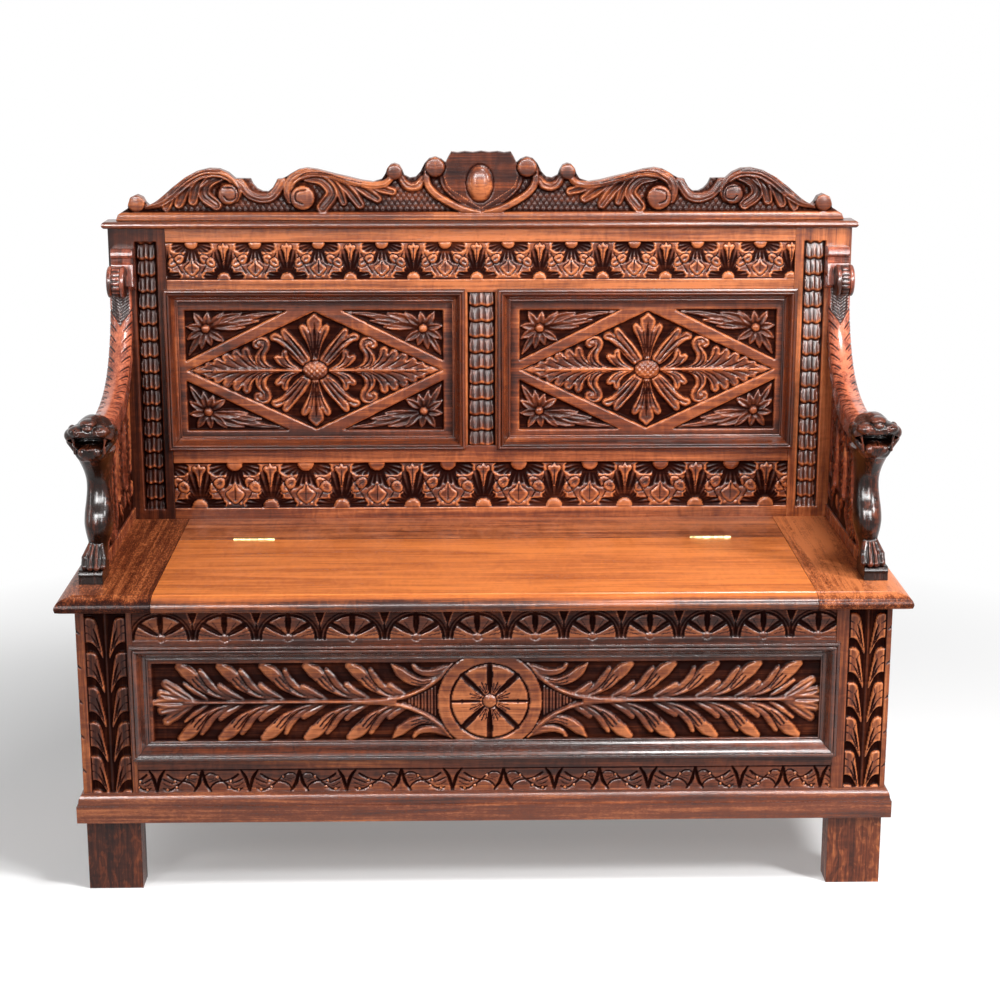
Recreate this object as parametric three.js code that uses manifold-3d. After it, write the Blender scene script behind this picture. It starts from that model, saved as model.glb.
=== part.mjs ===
// Carved oak settle bench: a panelled chest on four feet with a hinged seat lid,
// a tall panelled back with a scrolled crest, and two lion-headed arms.
// Millimetres, +X to the right as seen from the front, +Y to the back, +Z up.
// The origin is on the floor at the middle of the outer width and depth.
import * as THREE from 'three';
import { mergeVertices } from 'three/addons/utils/BufferGeometryUtils.js';
import Module from 'manifold-3d';

const wasm = await Module();
wasm.setup();

// Clearances
const gap = 0.3;
const overrun = 5;
const weld = 0.0001;

// Chest
const chestWidth = 1280;
const chestDepth = 465;
const seatHeight = 495;
const railThickness = 28;
const postDepth = 44;
const frontFrameEdge = 87;
const frontTopRail = 64.5;
const frontBottomRail = 109;
const sideTopRail = 60;
const sideBottomRail = 109;
const floorThickness = 12;
const floorHeight = 18;
const floorHousing = 8;

// Panels and their grooves
const panelThickness = 12;
const panelRecess = 8;
const grooveDepth = 10;
const panelPlay = 2;
const sidePanelTongue = 7;
const sidePanelField = 5;
const sidePanelBevel = 32;

// Feet and plinth
const footHeight = 117.5;
const footWidth = 86;
const footDepth = 46;
const footInset = 2;
const plinthHeight = 47.5;
const plinthProud = 11;
const plinthFascia = 27.5;
const plinthFillet = 2.5;

// Panel mouldings
const frontMouldingWidth = 28;
const backMouldingWidth = 23;
const mouldingLap = 6;
const mouldingProud = 12;
const mouldingLip = 3.5;

// Seat
const seatThickness = 25;
const seatSideOverhang = 27;
const seatFrontOverhang = 30;
const seatEdgeWidth = 24;
const seatQuirk = 1.5;
const lidWidth = 1036;
const lidDepth = 351;
const lidClearance = 1;
const battenWidth = 45;
const battenThickness = 18;
const battenLength = 250;
const battenInset = 210;

// Hinges
const hingeInset = 128;
const hingeLength = 70;
const hingeKnuckles = 5;
const barrelRadius = 3.8;
const pinRadius = 1.6;
const pinClearance = 0.3;
const leafThickness = 2;
const leafHeight = 20;

// Back
const backThickness = 38;
const backHeight = 1009;
const backPost = 97;
const backTopRail = 111;
const backSeatRailTop = 626;
const backSeatRailDrop = 25;
const muntinWidth = 68;

// Cornice and crest
const corniceThickness = 12;
const corniceFront = 12;
const corniceSide = 9;
const crestWidth = 1256;
const crestHeight = 118;
const crestThickness = 26;
const crestSetback = 4;
const crestRelief = 9;
const crestStrip = 13;

// Arms
const armWidth = 38;
const armReach = 415;
const armRise = 483;
const armCrown = 12;
const armDepth = 42;
const armInset = 18;
const headOffset = 5;
const headWidth = 70;
const rollRadius = 26.5;
const legWidth = 38;
const blockHeight = 22.5;
const blockLength = 66;
const infillThickness = 20;
const infillRail = 22;

// Finish
const oakColour = 0x6b2f16;
const darkOakColour = 0x4a1f12;
const seatOakColour = 0x8a421d;
const plainOakColour = 0x5a3520;
const brassColour = 0xa58a52;
const oak = new THREE.MeshStandardMaterial({ color: oakColour, roughness: 0.38, metalness: 0 });
const darkOak = new THREE.MeshStandardMaterial({ color: darkOakColour, roughness: 0.35, metalness: 0 });
const seatOak = new THREE.MeshStandardMaterial({ color: seatOakColour, roughness: 0.3, metalness: 0 });
const plainOak = new THREE.MeshStandardMaterial({ color: plainOakColour, roughness: 0.6, metalness: 0 });
const brass = new THREE.MeshStandardMaterial({ color: brassColour, roughness: 0.4, metalness: 1 });

// Planes that several pieces share
const halfWidth = chestWidth / 2;
const frontY = (seatFrontOverhang - chestDepth - backThickness) / 2;
const noseY = frontY - seatFrontOverhang;
const backY = frontY + chestDepth;
const rearY = backY + backThickness;
const seatUnder = seatHeight - seatThickness;
const seatHalf = halfWidth + seatSideOverhang;
const hingeY = noseY + lidDepth;
const hingeZ = seatHeight;
const panelFrontY = frontY + panelRecess;
const backPanelY = backY + panelRecess;
const tongue = grooveDepth - panelPlay;
const plinthTop = footHeight + plinthHeight;
const corniceTop = backHeight + corniceThickness;

const bench = new THREE.Group();

function plain(geometry) {
  const copy = geometry.clone();
  copy.deleteAttribute('normal');
  copy.deleteAttribute('uv');
  return mergeVertices(copy, weld);
}

function add(name, geometry, material) {
  const shown = plain(geometry);
  shown.computeVertexNormals();
  const mesh = new THREE.Mesh(shown, material.clone());
  mesh.name = name;
  bench.add(mesh);
}

function toSolid(geometry) {
  const body = plain(geometry);
  return new wasm.Manifold(new wasm.Mesh({
    numProp: 3,
    vertProperties: new Float32Array(body.attributes.position.array),
    triVerts: new Uint32Array(body.index.array),
  }));
}

function toGeometry(solid) {
  const mesh = solid.getMesh();
  const geometry = new THREE.BufferGeometry();
  geometry.setAttribute('position', new THREE.BufferAttribute(new Float32Array(mesh.vertProperties), 3));
  geometry.setIndex(Array.from(mesh.triVerts));
  return geometry;
}

function joined(...geometries) {
  return toGeometry(geometries.map(toSolid).reduce((whole, part) => whole.add(part)));
}

function cut(geometry, ...tools) {
  return toGeometry(tools.map(toSolid).reduce((whole, tool) => whole.subtract(tool), toSolid(geometry)));
}

function turnedOver(geometry) {
  const flipped = plain(geometry);
  const index = flipped.index.array;
  for (let i = 0; i < index.length; i += 3) {
    [index[i + 1], index[i + 2]] = [index[i + 2], index[i + 1]];
  }
  return flipped;
}

function mirrored(geometry) {
  return turnedOver(plain(geometry).applyMatrix4(new THREE.Matrix4().makeScale(-1, 1, 1)));
}

function moved(geometry, x, y, z) {
  return plain(geometry).applyMatrix4(new THREE.Matrix4().makeTranslation(x, y, z));
}

function signedVolume(geometry) {
  const p = geometry.attributes.position;
  const index = geometry.index.array;
  const [a, b, c] = [new THREE.Vector3(), new THREE.Vector3(), new THREE.Vector3()];
  let volume = 0;
  for (let i = 0; i < index.length; i += 3) {
    a.fromBufferAttribute(p, index[i]);
    b.fromBufferAttribute(p, index[i + 1]);
    c.fromBufferAttribute(p, index[i + 2]);
    volume += a.dot(b.cross(c));
  }
  return volume;
}

// A closed skin through rings of equal count; outline is the flat shape that caps both ends.
function skinned(rings, outline) {
  const count = rings[0].length;
  const positions = rings.flat(2);
  const index = [];
  for (let r = 0; r + 1 < rings.length; r += 1) {
    for (let i = 0; i < count; i += 1) {
      const j = (i + 1) % count;
      const [a, b, c, d] = [r * count + i, r * count + j, (r + 1) * count + j, (r + 1) * count + i];
      index.push(a, b, c, a, c, d);
    }
  }
  const cap = THREE.ShapeUtils.triangulateShape(outline.map(([u, v]) => new THREE.Vector2(u, v)), []);
  const last = (rings.length - 1) * count;
  const clockwise = THREE.ShapeUtils.area(outline.map(([u, v]) => new THREE.Vector2(u, v))) < 0;
  for (const [a, b, c] of cap) {
    index.push(...(clockwise ? [a, b, c] : [a, c, b]));
    index.push(...(clockwise ? [last + a, last + c, last + b] : [last + a, last + b, last + c]));
  }
  const geometry = new THREE.BufferGeometry();
  geometry.setAttribute('position', new THREE.BufferAttribute(new Float32Array(positions), 3));
  geometry.setIndex(index);
  return signedVolume(geometry) < 0 ? turnedOver(geometry) : geometry;
}

function box(x0, x1, y0, y1, z0, z1) {
  const geometry = new THREE.BoxGeometry(x1 - x0, y1 - y0, z1 - z0);
  return moved(geometry, (x0 + x1) / 2, (y0 + y1) / 2, (z0 + z1) / 2);
}

function shapeOf(points) {
  return points instanceof THREE.Shape ? points : new THREE.Shape(points.map(([u, v]) => new THREE.Vector2(u, v)));
}

function extruded(points, length, basis, segments = 1) {
  const options = { depth: length, bevelEnabled: false, curveSegments: segments };
  return plain(new THREE.ExtrudeGeometry(shapeOf(points), options)).applyMatrix4(basis);
}

// Outlines in (y, z) run along X, in (x, y) along Z, and in (x, z) from the back to the front.
function alongX(points, x0, x1, segments) {
  const basis = new THREE.Matrix4().set(0, 0, 1, x0, 1, 0, 0, 0, 0, 1, 0, 0, 0, 0, 0, 1);
  return extruded(points, x1 - x0, basis, segments);
}

function alongZ(points, z0, z1, segments) {
  return extruded(points, z1 - z0, new THREE.Matrix4().makeTranslation(0, 0, z0), segments);
}

function alongY(points, y0, y1, segments) {
  const basis = new THREE.Matrix4().set(1, 0, 0, 0, 0, 0, -1, y1, 0, 1, 0, 0, 0, 0, 0, 1);
  return extruded(points, y1 - y0, basis, segments);
}

// Feet

function addFeet() {
  const outer = halfWidth - footInset;
  const rows = { front: frontY + footInset, rear: rearY - footInset - footDepth };
  for (const [row, y] of Object.entries(rows)) {
    const foot = box(outer - footWidth, outer, y, y + footDepth, 0, footHeight);
    add(`foot_${row}_right`, foot, darkOak);
    add(`foot_${row}_left`, mirrored(foot), darkOak);
  }
}

// Plinth: a fascia with an ovolo and fillets above, mitred at the front corners

function plinthProfile() {
  const band = footHeight + plinthFascia;
  const ovoloTop = plinthTop - plinthFillet;
  const ovoloFoot = band + plinthFillet;
  const reachOut = plinthProud - plinthFillet;
  const curve = [];
  const steps = 10;
  for (let i = 0; i <= steps; i += 1) {
    const angle = (Math.PI / 2) * (i / steps);
    curve.push([plinthFillet + (reachOut - plinthFillet) * Math.cos(angle),
      ovoloFoot + (ovoloTop - ovoloFoot) * Math.sin(angle)]);
  }
  return [[gap, footHeight], [plinthProud, footHeight], [plinthProud, band], [reachOut, band],
    ...curve, [plinthFillet, plinthTop], [gap, plinthTop]];
}

function addPlinth() {
  const profile = plinthProfile();
  const frontRing = (side) => profile.map(([p, z]) => [side * (halfWidth + p - gap), frontY - p, z]);
  add('plinth_front', skinned([frontRing(-1), frontRing(1)], profile), oak);
  const sideRing = (y, mitre) => profile.map(([p, z]) => [halfWidth + p, y - mitre * p, z]);
  const side = skinned([sideRing(frontY + gap, 1), sideRing(rearY, 0)], profile);
  add('plinth_right', side, oak);
  add('plinth_left', mirrored(side), oak);
}

// Chest frame

function addFrontPosts() {
  const inner = halfWidth - frontFrameEdge;
  const [g0, g1] = [panelFrontY - gap, panelFrontY + panelThickness + gap];
  const rear = frontY + postDepth;
  const [s0, s1] = sideGroove();
  const outline = [
    [inner, frontY], [halfWidth, frontY], [halfWidth, rear], [s1, rear], [s1, rear - grooveDepth],
    [s0, rear - grooveDepth], [s0, rear], [inner, rear], [inner, g1], [inner + grooveDepth, g1],
    [inner + grooveDepth, g0], [inner, g0],
  ];
  const post = alongZ(outline, footHeight + gap, seatUnder - gap);
  add('front_post_right', post, oak);
  add('front_post_left', mirrored(post), oak);
}

function addFrontRails() {
  const half = halfWidth - frontFrameEdge - gap;
  const inner = frontY + railThickness;
  const [g0, g1] = [panelFrontY - gap, panelFrontY + panelThickness + gap];
  const top = seatUnder - gap;
  const under = seatUnder - frontTopRail;
  add('front_top_rail', alongX([
    [frontY, under], [g0, under], [g0, under + grooveDepth], [g1, under + grooveDepth], [g1, under],
    [inner, under], [inner, top], [frontY, top],
  ], -half, half), oak);
  const foot = footHeight + gap;
  const over = footHeight + frontBottomRail;
  const [f0, f1] = floorGroove();
  add('front_bottom_rail', alongX([
    [frontY, foot], [inner, foot], [inner, f0], [inner - floorHousing, f0], [inner - floorHousing, f1],
    [inner, f1], [inner, over], [g1, over], [g1, over - grooveDepth], [g0, over - grooveDepth],
    [g0, over], [frontY, over],
  ], -half, half), oak);
}

function addFrontPanel() {
  const half = halfWidth - frontFrameEdge + tongue;
  const under = footHeight + frontBottomRail - tongue;
  const over = seatUnder - frontTopRail + tongue;
  add('front_panel', box(-half, half, panelFrontY, panelFrontY + panelThickness, under, over), oak);
}

// Moulding strips round a panel: u runs in from the outer edge and w out from the frame's face

function mouldingProfile(width) {
  const bead = mouldingLip;
  const innerBead = bead / 2;
  const crest = bead * (7 / 3);
  const fallEnd = width - innerBead * 2;
  const sole = gap - panelRecess;
  const drop = mouldingProud - sole - innerBead;
  const points = [[0, gap]];
  const steps = 8;
  for (let i = 0; i <= steps; i += 1) {
    const angle = Math.PI * (1 - i / steps);
    points.push([bead * (1 + Math.cos(angle)), mouldingProud - bead * (3 / 2 - Math.sin(angle))]);
  }
  points.push([bead * 2, mouldingProud - bead / 4]);
  for (let i = 0; i <= steps; i += 1) {
    const t = i / steps;
    points.push([crest + (fallEnd - crest) * t, mouldingProud - drop * (t * t * (3 - 2 * t))]);
  }
  points.push([fallEnd, sole + innerBead / 4]);
  for (let i = 1; i <= steps; i += 1) {
    const angle = Math.PI * (1 - i / steps);
    points.push([width - innerBead * (1 - Math.cos(angle)), sole + innerBead * Math.sin(angle)]);
  }
  points.push([mouldingLap + gap, sole], [mouldingLap + gap, gap]);
  return points;
}

function mitredStrip(profile, length, toPlace) {
  const ring = (end) => profile.map(([u, w]) => toPlace(end * (length / 2 - u - gap), u, w));
  return skinned([ring(-1), ring(1)], profile);
}

function addMouldings(prefix, x0, x1, z0, z1, faceY, width) {
  const profile = mouldingProfile(width);
  const [midX, midZ] = [(x0 + x1) / 2, (z0 + z1) / 2];
  const sides = {
    top: mitredStrip(profile, x1 - x0, (s, u, w) => [midX + s, faceY - w, z1 - u]),
    bottom: mitredStrip(profile, x1 - x0, (s, u, w) => [midX + s, faceY - w, z0 + u]),
    left: mitredStrip(profile, z1 - z0, (s, u, w) => [x0 + u, faceY - w, midZ + s]),
    right: mitredStrip(profile, z1 - z0, (s, u, w) => [x1 - u, faceY - w, midZ + s]),
  };
  for (const [side, strip] of Object.entries(sides)) {
    add(`${prefix}_${side}`, strip, darkOak);
  }
}

function addFrontMouldings() {
  const half = halfWidth - frontFrameEdge + mouldingLap;
  const under = footHeight + frontBottomRail - mouldingLap;
  const over = seatUnder - frontTopRail + mouldingLap;
  addMouldings('front_moulding', -half, half, under, over, frontY, frontMouldingWidth);
}

// Chest sides: rails between the posts and a raised and fielded panel

function sideGroove() {
  const face = halfWidth - panelRecess;
  return [face - sidePanelTongue - gap, face + gap];
}

function addSideRails() {
  const inner = halfWidth - railThickness;
  const [s0, s1] = sideGroove();
  const [y0, y1] = [frontY + postDepth + gap, backY - gap];
  const top = seatUnder - gap;
  const under = seatUnder - sideTopRail;
  const topOutline = [
    [inner, under], [s0, under], [s0, under + grooveDepth], [s1, under + grooveDepth], [s1, under],
    [halfWidth, under], [halfWidth, top], [inner, top],
  ];
  const topRail = alongY(topOutline, y0, y1);
  const foot = footHeight + gap;
  const over = footHeight + sideBottomRail;
  const [f0, f1] = floorGroove();
  const bottomOutline = [
    [inner, foot], [halfWidth, foot], [halfWidth, over], [s1, over], [s1, over - grooveDepth],
    [s0, over - grooveDepth], [s0, over], [inner, over], [inner, f1], [inner + floorHousing, f1],
    [inner + floorHousing, f0], [inner, f0],
  ];
  const bottomRail = alongY(bottomOutline, y0, y1);
  add('side_top_rail_right', topRail, oak);
  add('side_top_rail_left', mirrored(topRail), oak);
  add('side_bottom_rail_right', bottomRail, oak);
  add('side_bottom_rail_left', mirrored(bottomRail), oak);
}

function addSidePanels() {
  const face = halfWidth - panelRecess;
  const ring = (x, inset) => {
    const [y0, y1] = [frontY + postDepth - tongue + inset, backY + tongue - inset];
    const z0 = footHeight + sideBottomRail - tongue + inset;
    const z1 = seatUnder - sideTopRail + tongue - inset;
    return [[x, y0, z0], [x, y1, z0], [x, y1, z1], [x, y0, z1]];
  };
  const square = [[0, 0], [1, 0], [1, 1], [0, 1]];
  const panel = skinned([
    ring(face - sidePanelTongue, 0), ring(face, 0), ring(face, tongue + panelPlay),
    ring(face + sidePanelField, tongue + sidePanelBevel),
  ], square);
  add('side_panel_right', panel, oak);
  add('side_panel_left', mirrored(panel), oak);
}

function floorGroove() {
  const under = footHeight + floorHeight - gap;
  return [under, under + floorThickness + gap * 2];
}

function addFloor() {
  const play = panelPlay / 2;
  const inner = halfWidth - railThickness;
  const out = inner + floorHousing - play;
  const postInner = halfWidth - frontFrameEdge - gap * 2;
  const front = frontY + railThickness - floorHousing + play;
  const postRear = frontY + postDepth + gap * 2;
  const rear = backY - gap;
  const half = [[postInner, front], [postInner, postRear], [out, postRear], [out, rear]];
  const outline = [...half, ...half.map(([x, y]) => [-x, y]).reverse()];
  const under = footHeight + floorHeight;
  add('chest_floor', alongZ(outline, under, under + floorThickness), plainOak);
}

// Back frame

function addBackPosts() {
  const inner = halfWidth - backPost;
  const [g0, g1] = [backPanelY - gap, backPanelY + panelThickness + gap];
  const [s0, s1] = sideGroove();
  const upper = [
    [inner, backY], [halfWidth, backY], [halfWidth, rearY], [inner, rearY], [inner, g1],
    [inner + grooveDepth, g1], [inner + grooveDepth, g0], [inner, g0],
  ];
  const body = alongZ(upper, footHeight + gap, backHeight - gap);
  const bottom = footHeight - overrun;
  const sideCut = box(s0, s1, backY - overrun, backY + grooveDepth, bottom, seatUnder - sideTopRail + grooveDepth);
  const post = cut(body, sideCut);
  add('back_post_right', post, oak);
  add('back_post_left', mirrored(post), oak);
}

function addBackRails() {
  const half = halfWidth - backPost - gap;
  const [g0, g1] = [backPanelY - gap, backPanelY + panelThickness + gap];
  const under = backHeight - backTopRail;
  const top = backHeight - gap;
  add('back_top_rail', alongX([
    [backY, under], [g0, under], [g0, under + grooveDepth], [g1, under + grooveDepth], [g1, under],
    [rearY, under], [rearY, top], [backY, top],
  ], -half, half), oak);
  const over = backSeatRailTop;
  const foot = seatUnder - backSeatRailDrop;
  add('back_seat_rail', alongX([
    [backY, foot], [g0, foot], [g0, foot + grooveDepth], [g1, foot + grooveDepth], [g1, foot],
    [rearY, foot], [rearY, over], [g1, over], [g1, over - grooveDepth], [g0, over - grooveDepth],
    [g0, over], [backY, over],
  ], -half, half), oak);
}

function addMuntin() {
  const half = muntinWidth / 2;
  const [g0, g1] = [backPanelY - gap, backPanelY + panelThickness + gap];
  const deep = half - grooveDepth;
  const right = [
    [half, backY], [half, g0], [deep, g0], [deep, g1], [half, g1], [half, rearY],
  ];
  const outline = [...right, ...right.map(([x, y]) => [-x, y]).reverse()];
  add('back_muntin', alongZ(outline, backSeatRailTop + gap, backHeight - backTopRail - gap), oak);
}

function addBackPanels() {
  const [x0, x1] = [muntinWidth / 2 - tongue, halfWidth - backPost + tongue];
  const [z0, z1] = [backSeatRailTop - tongue, backHeight - backTopRail + tongue];
  const panel = box(x0, x1, backPanelY, backPanelY + panelThickness, z0, z1);
  add('back_panel_right', panel, oak);
  add('back_panel_left', mirrored(panel), oak);
}

function addBackMouldings() {
  const [x0, x1] = [muntinWidth / 2 - mouldingLap, halfWidth - backPost + mouldingLap];
  const [z0, z1] = [backSeatRailTop - mouldingLap, backHeight - backTopRail + mouldingLap];
  addMouldings('back_moulding_r', x0, x1, z0, z1, backY, backMouldingWidth);
  addMouldings('back_moulding_l', -x1, -x0, z0, z1, backY, backMouldingWidth);
}

function addChestBack() {
  const half = halfWidth - backPost - gap;
  const edge = half + gap + tongue;
  const [under, over] = [footHeight + gap, seatUnder - backSeatRailDrop];
  const rear = backPanelY + panelThickness;
  const core = box(-half, half, backY + gap, rear, under, over - gap);
  const sides = box(-edge, edge, backPanelY, rear, under, over - gap);
  const top = box(-half, half, backPanelY, rear, over - overrun, over + tongue);
  add('chest_back', joined(core, sides, top), plainOak);
}

// Cornice board with a rounded nose on the front and both sides

function addCornice() {
  const round = corniceThickness / 2;
  const profile = [];
  const steps = 10;
  for (let i = 0; i <= steps; i += 1) {
    const angle = -Math.PI / 2 + Math.PI * (i / steps);
    profile.push([round - round * Math.cos(angle), backHeight + round + round * Math.sin(angle)]);
  }
  const rings = profile.map(([p, z]) => {
    const [x, y] = [halfWidth + corniceSide - p, backY - corniceFront + p];
    return [[-x, y, z], [x, y, z], [x, rearY, z], [-x, rearY, z]];
  });
  add('cornice', skinned(rings, [[-1, 0], [1, 0], [1, 1], [-1, 1]]), darkOak);
}

// Crest board: half outline as shares of the half width and of the height, in smooth stretches

const crestStretchShares = [
  [[1, 0], [0.987, 0.09], [0.962, 0.16]],
  [[0.963, 0.24], [0.958, 0.33], [0.942, 0.378], [0.924, 0.35], [0.915, 0.285], [0.907, 0.235]],
  [[0.874, 0.335], [0.84, 0.48], [0.807, 0.61], [0.774, 0.71], [0.74, 0.755], [0.71, 0.755], [0.688, 0.7],
    [0.668, 0.61]],
  [[0.628, 0.59], [0.615, 0.5], [0.603, 0.43], [0.588, 0.405], [0.572, 0.45], [0.562, 0.56], [0.548, 0.585]],
  [[0.528, 0.64], [0.505, 0.72], [0.475, 0.76], [0.445, 0.74], [0.4, 0.68], [0.35, 0.615], [0.295, 0.55]],
  [[0.266, 0.6], [0.259, 0.7], [0.25, 0.79], [0.236, 0.825], [0.22, 0.79], [0.213, 0.7], [0.21, 0.645]],
  [[0.194, 0.605], [0.178, 0.625], [0.165, 0.7]],
  [[0.16, 0.79], [0.143, 0.89], [0.123, 0.92], [0.106, 0.87]],
  [[0.092, 0.905], [0.082, 0.995]],
];
const crestPointsPerSpan = 2;

function crestHalfOutline() {
  const points = [];
  for (const stretch of crestStretchShares) {
    const placed = stretch.map(([u, v]) => new THREE.Vector2(u * (crestWidth / 2), v * crestHeight));
    const start = points.length ? [points[points.length - 1]] : [];
    const curve = new THREE.SplineCurve([...start, ...placed]);
    const spans = (start.length + placed.length - 1) * crestPointsPerSpan;
    points.push(...curve.getPoints(spans).slice(start.length));
  }
  return points;
}

const volutes = [
  { x: 0.942, z: 0.27, r: 0.125 }, { x: 0.689, z: 0.377, r: 0.155 }, { x: 0.4855, z: 0.325, r: 0.175 },
  { x: 0.237, z: 0.7, r: 0.125 }, { x: 0.124, z: 0.755, r: 0.155 },
];
const strapShares = [[0.162, 0.72], [0.15, 0.5], [0.12, 0.33], [0.07, 0.2], [0, 0.08]];
const strapInnerShares = [[0, 0.22], [0.055, 0.32], [0.1, 0.44], [0.128, 0.6], [0.136, 0.72]];
const bossShares = { z: 0.54, halfWidth: 0.034, halfHeight: 0.245 };

function crestScrolls(front) {
  const half = crestWidth / 2;
  const deep = front + crestRelief + gap;
  const discs = volutes.flatMap(({ x, z, r }) => [-1, 1].map((side) => {
    const disc = new THREE.Shape();
    disc.absarc(side * x * half, corniceTop + z * crestHeight, r * crestHeight, 0, Math.PI * 2);
    return alongY(disc, front, deep, 7);
  }));
  const strapSide = (shares, side) => shares.map(([u, v]) => [side * u * half, corniceTop + v * crestHeight]);
  const strap = alongY([
    ...strapSide(strapShares, 1), ...strapSide(strapShares.slice(0, -1).reverse(), -1),
    ...strapSide(strapInnerShares.slice(1).reverse(), -1), ...strapSide(strapInnerShares, 1),
  ], front, deep);
  return [...discs, strap];
}

function crestBoss(front) {
  const dome = new THREE.SphereGeometry(1, 14, 8);
  const size = [bossShares.halfWidth * crestWidth / 2, crestRelief, bossShares.halfHeight * crestHeight];
  const basis = new THREE.Matrix4().makeScale(...size)
    .setPosition(0, front + crestRelief, corniceTop + bossShares.z * crestHeight);
  return plain(dome).applyMatrix4(basis);
}

function addCrest() {
  const right = crestHalfOutline().map((p) => [p.x, corniceTop + gap + p.y * (1 - gap / crestHeight)]);
  const outline = [...right, ...right.map(([x, z]) => [-x, z]).reverse()];
  const front = backY + crestSetback;
  const ground = alongY(outline, front + crestRelief, front + crestThickness);
  const half = right[0][0];
  const slope = half - right[1][0];
  const strip = alongY([
    [-half, corniceTop + gap], [half, corniceTop + gap], [half - slope, corniceTop + crestStrip],
    [slope - half, corniceTop + crestStrip],
  ], front, front + crestRelief + gap);
  add('crest', joined(ground, strip, ...crestScrolls(front), crestBoss(front)), oak);
}

// Seat boards: p runs in from the nose, z up

function seatProfile() {
  const nose = seatThickness / 3;
  const roundFoot = seatUnder + nose;
  const top = seatHeight - seatQuirk;
  const points = [[nose, seatUnder], [seatQuirk, seatUnder + nose / 3], [0, roundFoot]];
  const steps = 12;
  for (let i = 1; i <= steps; i += 1) {
    const angle = (Math.PI / 2) * (i / steps);
    points.push([(seatEdgeWidth - seatQuirk) * (1 - Math.cos(angle)),
      roundFoot + (top - roundFoot) * Math.sin(angle)]);
  }
  points.push([seatEdgeWidth, seatHeight]);
  return points;
}

function addSeatEnds() {
  const inner = lidWidth / 2 + lidClearance / 2;
  const rear = backY - gap;
  const rings = seatProfile().map(([p, z]) => {
    const [x, y] = [seatHalf - p, noseY + p];
    return [[inner, y, z], [x, y, z], [x, rear, z], [inner, rear, z]];
  });
  const end = skinned(rings, [[0, 0], [1, 0], [1, 1], [0, 1]]);
  add('seat_end_right', end, seatOak);
  add('seat_end_left', mirrored(end), seatOak);
}

function hingeCentres() {
  const x = lidWidth / 2 - hingeInset;
  return { right: x, left: -x };
}

// The bed cut for each hinge: a slot for the leaf and a trough for the barrel
function hingeBeds(side) {
  const beds = [];
  for (const x of Object.values(hingeCentres())) {
    const [x0, x1] = [x - hingeLength / 2 - gap, x + hingeLength / 2 + gap];
    const y = hingeY + side * (lidClearance / 2 + leafThickness + gap);
    const far = hingeY - side * overrun;
    beds.push(box(x0, x1, Math.min(y, far), Math.max(y, far), hingeZ - leafHeight - gap, seatHeight + overrun));
    const trough = new THREE.Shape();
    trough.absarc(hingeY, hingeZ, barrelRadius + gap * 2, 0, Math.PI * 2);
    beds.push(alongX(trough, x0, x1, 8));
  }
  return beds;
}

function addSeatRail() {
  const half = lidWidth / 2 - lidClearance / 2;
  const board = box(-half, half, hingeY + lidClearance / 2, backY - gap, seatUnder, seatHeight);
  add('seat_rear_rail', cut(board, ...hingeBeds(1)), seatOak);
}

function addLid() {
  const half = lidWidth / 2 - lidClearance / 2;
  const rear = hingeY - lidClearance / 2;
  const profile = seatProfile().map(([p, z]) => [noseY + p, z]);
  const board = alongX([...profile, [rear, seatHeight], [rear, seatUnder]], -half, half);
  add('seat_lid', cut(board, ...hingeBeds(-1)), seatOak);
  const y0 = frontY + railThickness + (lidDepth - seatFrontOverhang - railThickness - battenLength) / 2;
  const x = lidWidth / 2 - battenInset;
  const chamfer = battenThickness / 3;
  const [low, high] = [seatUnder - gap - battenThickness, seatUnder - gap];
  const batten = alongX([
    [y0, high], [y0, low + chamfer], [y0 + chamfer, low], [y0 + battenLength - chamfer, low],
    [y0 + battenLength, low + chamfer], [y0 + battenLength, high],
  ], x - battenWidth / 2, x + battenWidth / 2);
  add('lid_batten_right', batten, plainOak);
  add('lid_batten_left', mirrored(batten), plainOak);
}

// Butt hinges: odd knuckles on the rear rail's leaf, even ones on the lid's

function hingeLeaf(x, side, firstKnuckle) {
  const [near, far] = [lidClearance / 2 - gap / 2, lidClearance / 2 + leafThickness - gap / 2];
  const [y0, y1] = side > 0 ? [hingeY + near, hingeY + far] : [hingeY - far, hingeY - near];
  const start = x - hingeLength / 2;
  const plateTop = hingeZ - barrelRadius - gap * 2;
  let leaf = box(start, start + hingeLength, y0, y1, hingeZ - leafHeight, plateTop);
  const pitch = hingeLength / hingeKnuckles;
  for (let i = firstKnuckle; i < hingeKnuckles; i += 2) {
    const [x0, x1] = [start + i * pitch + gap / 2, start + (i + 1) * pitch - gap / 2];
    const barrel = new THREE.Shape();
    barrel.absarc(hingeY, hingeZ, barrelRadius, 0, Math.PI * 2);
    const web = box(x0, x1, y0, y1, plateTop - gap, hingeZ);
    leaf = joined(leaf, alongX(barrel, x0, x1, 12), web);
  }
  const bore = new THREE.Shape();
  bore.absarc(hingeY, hingeZ, pinRadius + pinClearance, 0, Math.PI * 2);
  return cut(leaf, alongX(bore, start - overrun, start + hingeLength + overrun, 8));
}

function addHinges() {
  for (const [side, x] of Object.entries(hingeCentres())) {
    add(`hinge_rail_leaf_${side}`, hingeLeaf(x, 1, 0), brass);
    add(`hinge_lid_leaf_${side}`, hingeLeaf(x, -1, 1), brass);
    const rod = new THREE.Shape();
    rod.absarc(hingeY, hingeZ, pinRadius, 0, Math.PI * 2);
    add(`hinge_pin_${side}`, alongX(rod, x - hingeLength / 2, x + hingeLength / 2, 8), brass);
  }
}

// Arms: places are shares of the reach forward from the back and of the rise above the seat

const armX = halfWidth - armInset;
const headX = armX - headOffset;

function armPlace([reachShare, riseShare]) {
  return [backY - reachShare * armReach, seatHeight + riseShare * armRise];
}

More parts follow.
